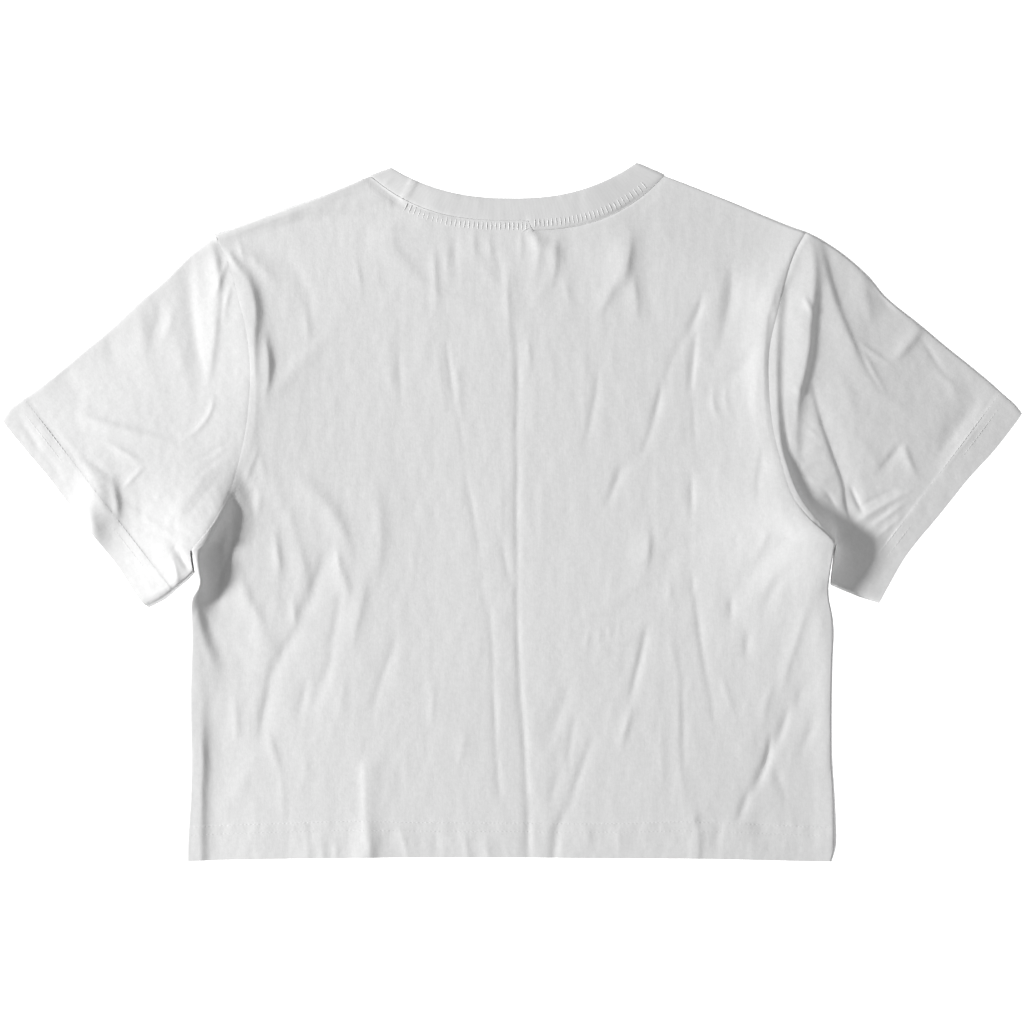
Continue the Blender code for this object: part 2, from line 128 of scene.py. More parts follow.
SLEEVE_TOP = (
    SHOULDER_TIP,
    Edge(-221.0, 191.0, 220.0, 196.0),
    Edge(-230.0, 184.0, 232.0, 188.4),
    Edge(-240.0, 174.0, 243.0, 180.0),
    Edge(-252.0, 162.4, 256.0, 168.0),
    Edge(-266.0, 151.0, 268.0, 153.6),
    Edge(-290.0, 128.6, 292.0, 134.2),
    Edge(-306.0, 115.6, 312.0, 117.4),
    Edge(-321.0, 102.8, 328.0, 104.6),
    Edge(-340.0, 88.0, 342.0, 93.0),
    Edge(-352.0, 79.6, 353.0, 83.0),
    Edge(-359.5, 73.8, 360.0, 76.8),
    CUFF_TOP,
)
CUFF = (
    CUFF_TOP,
    Edge(-361.0, 60.8, 361.4, 65.4),
    Edge(-347.0, 43.6, 345.0, 44.4),
    Edge(-331.0, 25.0, 326.0, 23.6),
    Edge(-318.0, 7.8, 314.0, 8.6),
    Edge(-301.0, -14.0, 301.0, -7.4),
    Edge(-290.0, -27.4, 290.0, -20.4),
    Edge(-280.0, -40.4, 280.0, -34.0),
    Edge(-266.0, -62.0, 269.0, -53.4),
    CUFF_END,
)
SAG = (
    UNDERARM,
    Edge(-228.2, -36.0, 228.8, -37.0),
    SLEEVE_END,
)
SLEEVE_UNDER = (
    SLEEVE_END,
    Edge(-231.0, -48.0, 233.5, -54.8),
    Edge(-238.2, -54.4, 240.4, -57.6),
    Edge(-248.0, -62.4, 249.0, -61.0),
    CUFF_END,
)
Corner = namedtuple("Corner", "x y")
HEM_LINE = (
    Corner(HEM_CORNER.left_x, HEM_CORNER.left_y),
    Corner(-200.0, -248.6),
    Corner(-100.0, -247.2),
    Corner(0.0, -247.0),
    Corner(60.0, -247.5),
    Corner(140.0, -248.0),
    Corner(200.0, -249.4),
    Corner(HEM_CORNER.right_x, HEM_CORNER.right_y),
)
BACK_SEAM_Y, BACK_EDGE_Y = 208.4, 224.3  # the neckband at the centre back
FRONT_SEAM_Y, FRONT_EDGE_Y = 146.0, 163.0  # and at the centre front
SEAM_BEND, EDGE_BEND, SCOOP_BEND = 2.75, 2.4, 0.85
STEP_X, STEP_RUN, STEP_DROP = 11.0, 4.0, 7.4  # the seam is rolled down, right of here
BAND_BULGE, BAND_SQUARENESS = 1.45, 0.55  # thickness and section of the doubled neckband
TIP_TO_TIP = 260.0  # length of half the neck seam
BODY_WIDTH, SIDE_LENGTH = 461.0, 227.0  # across the hem, and from it up to the underarm

# ---------------------------------------------------------------- creases, in millimetres

# A ridge (a trough, where height is negative) along a curve through three points, highest in
# the middle; start and end are its heights at its two ends. west and east are how far it
# spreads to either side: east is on the left hand of someone who walks along the row, so rows
# that run down towards the hem have the wearer's right on their east.
Crease = namedtuple(
    "Crease", "x0 y0 xm ym x1 y1 west east height start end", defaults=(0.0, 0.0)
)

LEFT_BLADE = (
    # Beside the left armhole
    Crease(-204, 187, -198.5, 179.5, -192, 172, 2.6, 1.8, 1.0),
    Crease(-178, 128, -173.7, 106, -177.5, 80, 14, 3.4, 2.2),
    Crease(-192, 184, -182, 176, -166, 160, 3.5, 5, 0.8, 0.3, 0.0),
    Crease(-178, 184, -152, 168, -141, 122, 7, 8, -0.5),
    Crease(-147.5, 146, -146, 133, -144.5, 119, 4, 3, 0.35),
    Crease(-177, 73, -153, 104, -126, 127, 8, 6, 0.75),
    Crease(-194.5, 194, -193.5, 187, -191.5, 179, 2.2, 1.8, 0.5),
    # Beneath the shoulder seam
    Crease(-209, 195, -160, 212, -88, 219.5, 2.6, 7, 2.4, 1.2, 0.9),
    Crease(-112, 177, -109.5, 169, -108, 159, 2.2, 1.6, 0.4),
    Crease(-93, 146, -87, 151, -80, 154, 2, 2, 0.3),
)
NECK = (
    # The front neckband lies beneath, and shows through as a low horseshoe
    Crease(-85, 206, -80.5, 183, -58, 161, 15, 3.2, 0.6, 0.1, 0.2),
    Crease(-60, 162, -37, 150, -8, 138, 9, 3.5, 0.35),
    Crease(-100, 200, -88, 200.5, -76, 204, 4, 3, 0.4),
    Crease(0, 139, 30, 141, 58, 150, 6, 8, 0.3),
    Crease(86, 200, 82.5, 180, 79.5, 166, 16, 5, 2.0, 0.0, 0.8),
    Crease(79, 170, 70.2, 155, 60, 138, 8, 2.4, 0.85),
    Crease(86, 174, 88.2, 156, 90, 138, 6, 2.6, 0.65),
    Crease(94, 190, 97, 165, 99, 130, 5, 12, -0.35),
    Crease(82, 214, 94, 221, 107, 231, 1.4, 1.4, -0.6),
    Crease(104, 207, 110, 198, 118, 186, 2.5, 2.5, 0.2),
    # Hanging from the seam
    Crease(-28, 203, -27.2, 191, -26.5, 176, 4, 2.4, 0.5),
    Crease(-17.8, 198, -16.2, 189.5, -13.8, 181, 2.6, 1.8, 0.4),
    Crease(-12, 186, -9, 176, -6, 164, 3, 5, -0.3),
    Crease(6.8, 203, 6.9, 192, 6, 180, 3, 2.0, 0.4),
    Crease(14.5, 202, 18.8, 189, 17, 169, 5, 4, 0.75, 0.1, 0.0),
    Crease(30.2, 190, 31.3, 180, 28, 161, 8, 2.5, 0.85, 0.5, 0.2),
    Crease(41, 197, 39, 186, 40, 170, 3, 9, -0.25),
    Crease(13, 203, 19.5, 193, 31, 188.5, 6, 1.9, 0.8, 0.3, 0.7),
    Crease(25, 166, 21, 157, 15, 150, 3, 3, 0.3),
    Crease(37, 165, 39, 158, 43, 150, 3, 2.4, 0.4),
    Crease(-56, 190, -55.2, 172, -53.5, 146, 4, 2.2, 0.5),
    Crease(-46, 194, -46, 180, -45, 160, 3, 2.2, 0.3),
    Crease(-41, 195, -40.3, 182, -38, 166, 2.6, 2.6, -0.3),
    Crease(-23, 182, -18, 171, -8, 161, 2.5, 2.5, 0.3),
    Crease(-106.5, 239, -100, 230, -90.5, 222.5, 1.1, 1.1, 0.7),
    Crease(-103.5, 240, -97, 231.5, -88, 224.5, 1.0, 1.0, 0.5),
    # The neckband's own joins
    Crease(-71.5, 238.5, -74.8, 231, -79.3, 223, 0.9, 1.0, 0.8, 0.6, 0.6),
    Crease(-68.6, 238, -72.3, 230, -76.8, 222, 0.9, 1.0, 0.8, 0.6, 0.6),
    Crease(-85.5, 240.5, -88.3, 236.5, -91.5, 233, 1.0, 1.0, 0.5),
)
MIDDLE = (
    Crease(-3, 176, -2.4, 150, -1.6, 116, 4, 2.2, 0.5),
    Crease(2, 132, 3.8, 100, 3.6, 60, 2.2, 4, -0.55, 0.0, -0.25),
    Crease(3.4, 64, 3.2, 0, 3.6, -60, 2, 3, -0.5, -0.25, -0.2),
    Crease(10.5, 128, 11.6, 115, 13, 100, 2.4, 2, 0.35),
    Crease(3, -58, 4.2, -94, 6.5, -132, 2, 3, -0.6, -0.2, -0.2),
    Crease(6, -126, 8.6, -162, 10.5, -200, 3, 3, -0.7, -0.3, -0.3),
    Crease(10.5, -196, 11.5, -222, 11.5, -252, 4, 3.4, -0.7, -0.3, -0.5),
    Crease(-8, 26, -7.6, 0, -8, -22, 2.6, 2, 0.22),
    Crease(-8, -15, -5, -36, 0.5, -53, 2, 2.6, -0.38),
    Crease(-47, 124, -44.5, 104, -41, 74, 1.7, 2, -0.4),
    Crease(-53, 121, -51.5, 98, -48, 68, 3, 3, 0.25),
    Crease(-39, 108, -38, 90, -37, 66, 2.4, 2.4, 0.2),
    Crease(-41, 78, -36.5, 55, -32, 32, 1.8, 2.2, -0.2),
    Crease(-36, 38, -28, 0, -22.5, -38, 2, 3, -0.36),
    Crease(-23, -36, -20, -60, -17, -86, 2, 3, -0.2),
    Crease(-17, -56, -14, -95, -12.5, -134, 2, 2.6, -0.34),
    Crease(-13, -122, -12, -148, -11.5, -172, 2, 2.6, -0.5),
    Crease(-11.8, -165, -10, -187, -8, -208, 2, 2.6, -0.4),
    Crease(-88, 104, -86, 95, -85, 84, 3.5, 3.5, 0.3),
    Crease(-81.5, 114, -79.5, 96, -79, 76, 2, 3, -0.3),
    Crease(-73, -28, -71, -36, -69, -46, 3, 2.4, 0.24),
    Crease(62, 106, 58.5, 78, 51, 43, 2.4, 4, -0.5),
    Crease(79, 37, 74, 21, 65.5, 2, 2, 3.4, -0.7),
    Crease(-57, -118, -57, -136, -58, -158, 3, 3, 0.24),
    Crease(-31, -152, -34.5, -166, -39, -180, 4, 3.4, 0.4),
    Crease(28, 118, 29, 102, 30, 86, 3, 3, 0.16),
    Crease(52, 122, 52, 92, 51, 60, 3, 3, 0.14),
    Crease(20, 30, 22, 0, 21, -40, 4, 3, 0.15),
    # Marks that a fold has left across the cloth
    Crease(44, -82, 74, -62, 108, -38, 3, 3, 0.3),
    Crease(107, -35, 124, -25, 147, -15, 2.4, 2.4, -0.45),
    Crease(56, -99, 78, -91, 100, -77, 2.4, 2.2, 0.3),
    Crease(54.5, -88, 54, -92, 53.5, -97, 1.6, 1.4, 0.35),
    Crease(62.5, -84, 62, -88, 61.5, -93, 1.6, 1.4, 0.3),
    Crease(70, -81, 69.5, -85, 69, -90, 1.6, 1.4, 0.35),
    Crease(77, -78, 76.5, -82, 76, -87, 1.6, 1.4, 0.3),
)
RIGHT_BACK = (
    # The shoulder blade
    Crease(157.5, 177, 155.5, 152, 148, 114, 5, 8, -1.1),
    Crease(150, 180, 146, 150, 142, 118, 14, 8, 0.4),
    Crease(186, 152, 187.5, 145, 188.5, 136, 3, 2, 0.6),
    Crease(136, 156, 131.5, 140, 123, 124, 3, 3.2, -1.0),
    Crease(125, 128, 115.5, 110, 107, 88, 2.5, 4, -0.4),
    Crease(107.5, 92, 104, 76, 99, 60, 2.2, 3.2, -0.9),
    Crease(101, 64, 96.5, 52, 89, 36, 2.2, 3, -0.5),
    Crease(90, 42, 82, 32, 74, 18, 2.5, 3, -0.35),
    Crease(132, 132, 130, 106, 127.5, 84, 4.5, 2.6, -0.8),
    Crease(128.5, 88, 130, 66, 131, 42, 3, 3, -0.3),
    Crease(128.5, 28, 129, 12, 128, -8, 2.8, 3, -0.6),
    Crease(146, 90, 144, 76, 152, 62, 2.2, 2.2, 0.35),
    Crease(156, 92, 152.5, 80, 160, 66, 2.2, 2.2, 0.28),
    Crease(173, 114, 163, 103, 148, 92, 3.4, 3.4, -0.6),
    Crease(178, 112, 174, 88, 177, 60, 5, 4, 0.4),
    Crease(180, 45, 176.8, 28, 174, 6, 2.0, 5, -0.5),
    Crease(150, 42, 148, 22, 150, 2, 3, 3, 0.2),
    # Below it
    Crease(98.5, -12, 97.3, -27, 95, -42, 8, 2.3, 1.0),
    Crease(102, -10, 106, -13, 112, -14, 2, 2, 0.35),
    Crease(129.6, -46, 129.4, -53, 130, -62, 3, 4, -0.6),
    Crease(131, -62, 134.5, -92, 141, -128, 2.4, 4, -0.7, -0.2, 0.0),
    Crease(141, -120, 143, -140, 146, -165, 2.5, 3, -0.3),
    Crease(97, -78, 90.5, -107, 83, -140, 2.2, 3.6, -0.8),
    Crease(85.5, -142, 82, -154, 77.5, -168, 4, 2.2, 0.8),
    Crease(111, -80, 115, -100, 120, -125, 3, 2.4, 0.3),
    Crease(122, -118, 122, -150, 123, -192, 3, 3, -0.35),
    Crease(113, -48, 112.5, -56, 112, -66, 2, 1.8, 0.28),
    Crease(157, -60, 156, -68, 156, -77, 3.5, 4, -0.8),
    Crease(168, -86, 167.5, -95, 168, -103, 3, 4, -0.8),
    Crease(149.5, -116, 153.5, -130, 159, -146, 3, 2.3, 0.5),
    Crease(118.5, -110, 119.5, -160, 124, -222, 4, 3, 0.3),
    Crease(106, -150, 107, -175, 108, -200, 3, 2.5, 0.2),
    # The right flank
    Crease(184, -8, 179, -22, 172, -34, 3, 2.4, 0.4),
    Crease(201, -16, 180, -33, 157, -58, 8, 8, -0.9),
    Crease(199, -38, 187, -54, 177, -74, 3, 4, -0.5),
    Crease(203, -30, 184, -50, 160, -72, 4, 4, 0.3),
    Crease(217, -50, 203, -90, 188, -138, 4.5, 3, 0.55),
    Crease(187, -122, 182, -136, 179, -154, 4, 3, 0.5),
    Crease(198.5, -138, 193.5, -155, 186, -172, 3.2, 3, -0.9),
    Crease(185, -158, 181.5, -180, 169.5, -201, 2.4, 3.2, -1.5),
    Crease(169.5, -199, 166, -208, 160, -222, 2.2, 3.2, -1.0),
    Crease(187, -180, 191, -192, 196, -206, 3, 4, -0.5),
    Crease(217, -147, 212, -158, 206, -172, 2.6, 4, -0.5),
    Crease(210, -122, 206, -130, 203, -140, 3, 6, -0.4),
    Crease(222, -70, 219, -90, 217, -112, 7, 5, 0.4),
    Crease(168, -220, 180, -228, 184, -242, 9, 14, -0.9),
    Crease(146, -218, 147, -230, 146, -244, 5, 6, -0.5),
    Crease(158, -168, 168, -174, 180, -178, 3, 3, 0.35),
    # Long soft folds down to the hem
    Crease(43.5, -122, 33.5, -146, 27, -170, 6, 4, -0.55),
    Crease(47, -140, 42.5, -163, 40, -186, 3.4, 4, -0.5),
    Crease(59.5, -158, 49, -186, 40, -216, 3, 4, -0.6),
    Crease(41, -212, 33, -226, 29.5, -252, 3.4, 5, -0.7, -0.2, -0.6),
    Crease(35.5, -184, 31, -196, 26, -210, 3, 4, -0.35),
    Crease(129, -212, 130.2, -218, 129, -224, 4, 2.6, 0.35),
    Crease(131, -221, 132.6, -234, 133.5, -252, 6, 2.6, 0.6, 0.3, 0.5),
    Crease(126, -220, 143, -220, 162, -220.5, 1.6, 1.6, -0.5),
    Crease(52, -226, 54, -229, 54, -234, 5, 3, 0.5),
    Crease(76, -226, 76, -236, 76, -250, 3, 3, 0.4),
)
LEFT_BACK = (
    # The far side of the pocket beneath the underarm
    Crease(-203, 4, -204, -30, -205, -60, 5, 30, 3.2, 0.6, 0.4),
    # Round the underarm
    Crease(-181, 46, -186, 34, -191.5, 20, 3, 2, 0.4),
    Crease(-197, 31, -188, 15, -176.5, -4, 3, 3.5, -0.8),
    Crease(-200, 18, -193, 5, -184, -8, 2.4, 2.6, 0.9),
    Crease(-181, 40, -178, 30, -174, 18, 3, 2.4, 0.5),
    Crease(-184, 12, -181, 5, -179, -3, 2.4, 2.4, 0.8),
    Crease(-172, 34, -168, 14, -160, -8, 4, 4, 0.3),
    Crease(-170, -12, -167.5, -30, -166, -48, 5, 2.8, 0.9),
    Crease(-160, 2, -157, -8, -154, -18, 5, 3, 0.5),
    Crease(-158, -14, -149, -38, -147, -66, 9, 4, 0.7),
    Crease(-194, -44, -187, -64, -172, -95, 6, 3.4, 0.9),
    Crease(-184, -86, -176, -94, -166, -100, 5, 3, 0.4),
    Crease(-160, 30, -128, 0, -112, -40, 13, 3.6, 1.0),
    Crease(-98, 22, -94, -15, -99, -55, 8, 5, 0.7),
    Crease(-103.5, -48, -109, -70, -116, -100, 9, 3.4, 0.75),
    Crease(-124.5, -27, -123, -37, -120, -46, 3, 2, 0.7),
    Crease(-121.5, -40, -118.5, -50, -115.5, -61, 5, 2.6, 0.8),
    # Raked across the left flank
    Crease(-127, -22, -139, -48, -150, -76, 5, 9, -0.9),
    Crease(-146, -62, -151, -72, -155, -86, 3, 6, -0.5),
    Crease(-153, -84, -161.5, -95, -169, -110, 3.4, 8, -0.9),
    Crease(-167, -104, -172, -118, -173, -134, 3.6, 8, -0.8),
    Crease(-171.5, -127, -176.5, -142, -180, -166, 3.4, 7, -0.9),
    Crease(-157, -62, -156, -72, -155, -82, 3, 3, 0.5),
    Crease(-119, -54, -126, -80, -130, -106, 4, 4.5, -0.5),
    Crease(-128, -98, -134, -118, -146, -146, 5, 5, -0.6),
    Crease(-80, -86, -91, -112, -101, -148, 3.4, 5, -0.55),
    Crease(-143, -118, -149, -132, -152, -150, 4, 4, -0.6),
    Crease(-120, -120, -122, -136, -126, -152, 5, 4, 0.3),
    Crease(-198, -100, -193, -108, -186, -114, 4, 4, -0.4),
    Crease(-200, -128, -197, -146, -198, -168, 4, 3, 0.45),
    Crease(-173.5, -158, -169.5, -171, -165, -184, 4, 2.4, 0.6),
    Crease(-166, -180, -164, -198, -163, -222, 4, 3, 0.3),
    Crease(-184, -172, -192, -192, -206, -214, 6, 8, 0.4),
    Crease(-140, -158, -146, -180, -150, -204, 5, 4, 0.25),
    # Down to the hem
    Crease(-105.4, -184, -104.6, -202, -104, -226, 3.6, 12, 0.9, 0.9, 0.5),
    Crease(-103, -222, -102.4, -236, -102, -252, 10, 6.5, 1.9, 0.6, 2.0),
    Crease(-81, -226, -77, -236, -74, -250, 2.6, 2.6, 0.6),
    Crease(-147, -228, -146, -238, -146, -252, 3, 3, 0.35, 0.0, 0.3),
    Crease(-137, -228, -136, -238, -135, -252, 3.4, 3, 0.4, 0.0, 0.4),
    Crease(-127, -230, -126, -240, -126, -252, 3, 3, 0.3, 0.0, 0.3),
    Crease(-34, -228, -32.5, -238, -31, -252, 3, 2.4, 0.35, 0.0, 0.35),
    Crease(-20, -230, -18, -240, -17, -252, 3, 2.4, 0.35, 0.0, 0.35),
    Crease(-56, -226, -54, -236, -52, -250, 4, 4, -0.3),
)
LEFT_SLEEVE = (
    # The whole sleeve rises to its seam
    Crease(-197, 105, -193, 52, -202, 8, 46, 70, 3.0, 0.8, 1.2),
    # What fans out from the top of the seam
    Crease(-214, 150, -212, 130, -217, 88, 5, 3.4, 0.3),
    Crease(-203, 180, -207.2, 168, -213, 152, 2, 1.9, 0.7),
    Crease(-199.5, 164, -203.2, 152, -206, 134, 2, 1.9, 0.6),
    Crease(-231, 184, -228, 140, -219.5, 84, 9, 5, -1.1),
    # Over the arm
    Crease(-252, 154, -253, 138, -258, 120, 5, 6, -0.7),
    Crease(-266, 146, -265, 125, -258, 92, 9, 6, 0.6),
    Crease(-243, 150, -245, 134, -253, 118, 4, 4, 0.4),
    Crease(-241, 130, -238, 112, -228, 84, 7, 5, 0.45),
    Crease(-289, 128, -287, 116, -284, 104, 5, 6, -0.55),
    Crease(-326, 101, -316, 92, -306, 77, 9, 10, -0.7),
    Crease(-311, 70, -278, 60, -236, 49.5, 8, 2.4, 1.0),
    Crease(-214, 86, -218.5, 67, -237, 50, 2.2, 1.8, 0.6),
    # A dent beside the hem
    Crease(-292, 52, -276, 42.5, -264, 36, 3, 1.8, 0.7),
    Crease(-262.5, 33, -269, 25.5, -279, 15, 2.2, 1.6, 0.6),
    Crease(-300, 32, -293, 10, -288, -6, 16, 12, 4.2, 0.4, 0.3),
    Crease(-304, 9, -300, -8, -297, -22, 12, 10, 4.4, 0.6, 2.4),
    Crease(-286, 26, -281.5, 8, -281, -6, 5, 3.2, 1.6),
    Crease(-306, 40, -294, 31, -282, 21, 3, 3, -0.5),
    Crease(-353, 68, -345, 56, -334, 40, 2.4, 2.4, -0.5),
    Crease(-340, 48, -328, 34, -318, 20, 2.4, 2.4, -0.3),
    Crease(-330, 68, -312, 44, -296, 22, 4, 4, 0.3),
    # Streaks up to the underarm
    Crease(-216, 34, -228, 12, -246, -10, 7, 5, 0.4),
    Crease(-205, 32, -218, 14, -234, -8, 4, 4, -0.2),
    Crease(-200, 51, -214, 43, -232, 33, 2.6, 2.4, -0.35),
    Crease(-201, 43, -213, 36, -226, 24, 2.4, 2.2, -0.3),
)
RIGHT_SLEEVE = (
    # Beside the seam
    Crease(208, 153, 211, 148, 214.5, 141, 2.6, 1.6, 1.0),
    Crease(203, 90, 205, 87, 208, 84, 3, 2, 0.6),
    # Over the arm
    Crease(245, 124, 257, 114, 271, 105, 2.6, 1.8, 0.6),
    Crease(249, 117, 256.5, 103, 268, 84, 1.8, 1.8, 0.6),
    Crease(248, 176, 252, 158, 256, 134, 10, 5, 0.9),
    Crease(262, 160, 268, 150, 276, 143, 6, 5, -0.9),
    Crease(294, 135, 283, 120, 270, 106, 7, 3, 1.3),
    Crease(291, 128, 301, 110, 314, 92, 1.8, 2.4, -0.5),
    Crease(336, 84, 318, 60, 300, 34, 10, 6, -1.5),
    Crease(334, 64, 320, 46, 306, 28, 2.4, 2.4, 0.5),
    Crease(262, 90, 272, 78, 286, 70, 5, 5, 0.3),
    Crease(300, 100, 314, 90, 316, 76, 4, 4, 0.5),
    Crease(232, 100, 240, 84, 246, 66, 5, 5, 0.3),
    Crease(238, 60, 252, 46, 262, 30, 5, 5, 0.35),
    # Below them
    Crease(206, 40, 213.5, 44, 222, 45, 1.7, 1.7, 0.45),
    Crease(206, 29, 213, 34, 221, 36, 1.7, 1.7, 0.4),
    Crease(209, 59, 214.5, 57, 220, 52, 1.7, 1.7, 0.35),
    Crease(212, 26, 219.5, 22, 227, 26, 1.7, 1.7, 0.45),
    Crease(210, 15, 218.5, 12, 227, 15, 1.7, 1.7, 0.4),
    Crease(222, 16, 228, 10, 233, 0, 2.6, 2.6, -0.6),
    Crease(242, 20, 246.5, 9, 252, -1, 2.2, 2.2, -1.1),
    Crease(260, 27, 270.5, 39, 279.5, 50, 6, 2.2, -0.9),
    Crease(280, 50, 284, 38, 291, 23, 5, 2.3, 0.8),
    Crease(242, -10, 262, 3, 288, 17, 2.4, 2.4, 0.9),
    Crease(248, 2, 262, 11, 278, 16, 2, 2, -0.6),
    Crease(255, -13, 270, -1, 286, 11, 2.2, 2.4, 0.6),
    Crease(257, -23, 268, -12, 281, 0, 2.2, 2.4, 0.5),
    Crease(250, -10, 262, -3, 276, 7, 2, 2, -0.4),
)
CREASES = LEFT_BLADE + NECK + MIDDLE + RIGHT_BACK + LEFT_BACK + LEFT_SLEEVE + RIGHT_SLEEVE

# Long ridges and troughs that follow the seams and the folded edges, each a path of spots
Spot = namedtuple("Spot", "x y height")
Rim = namedtuple("Rim", "west east path")

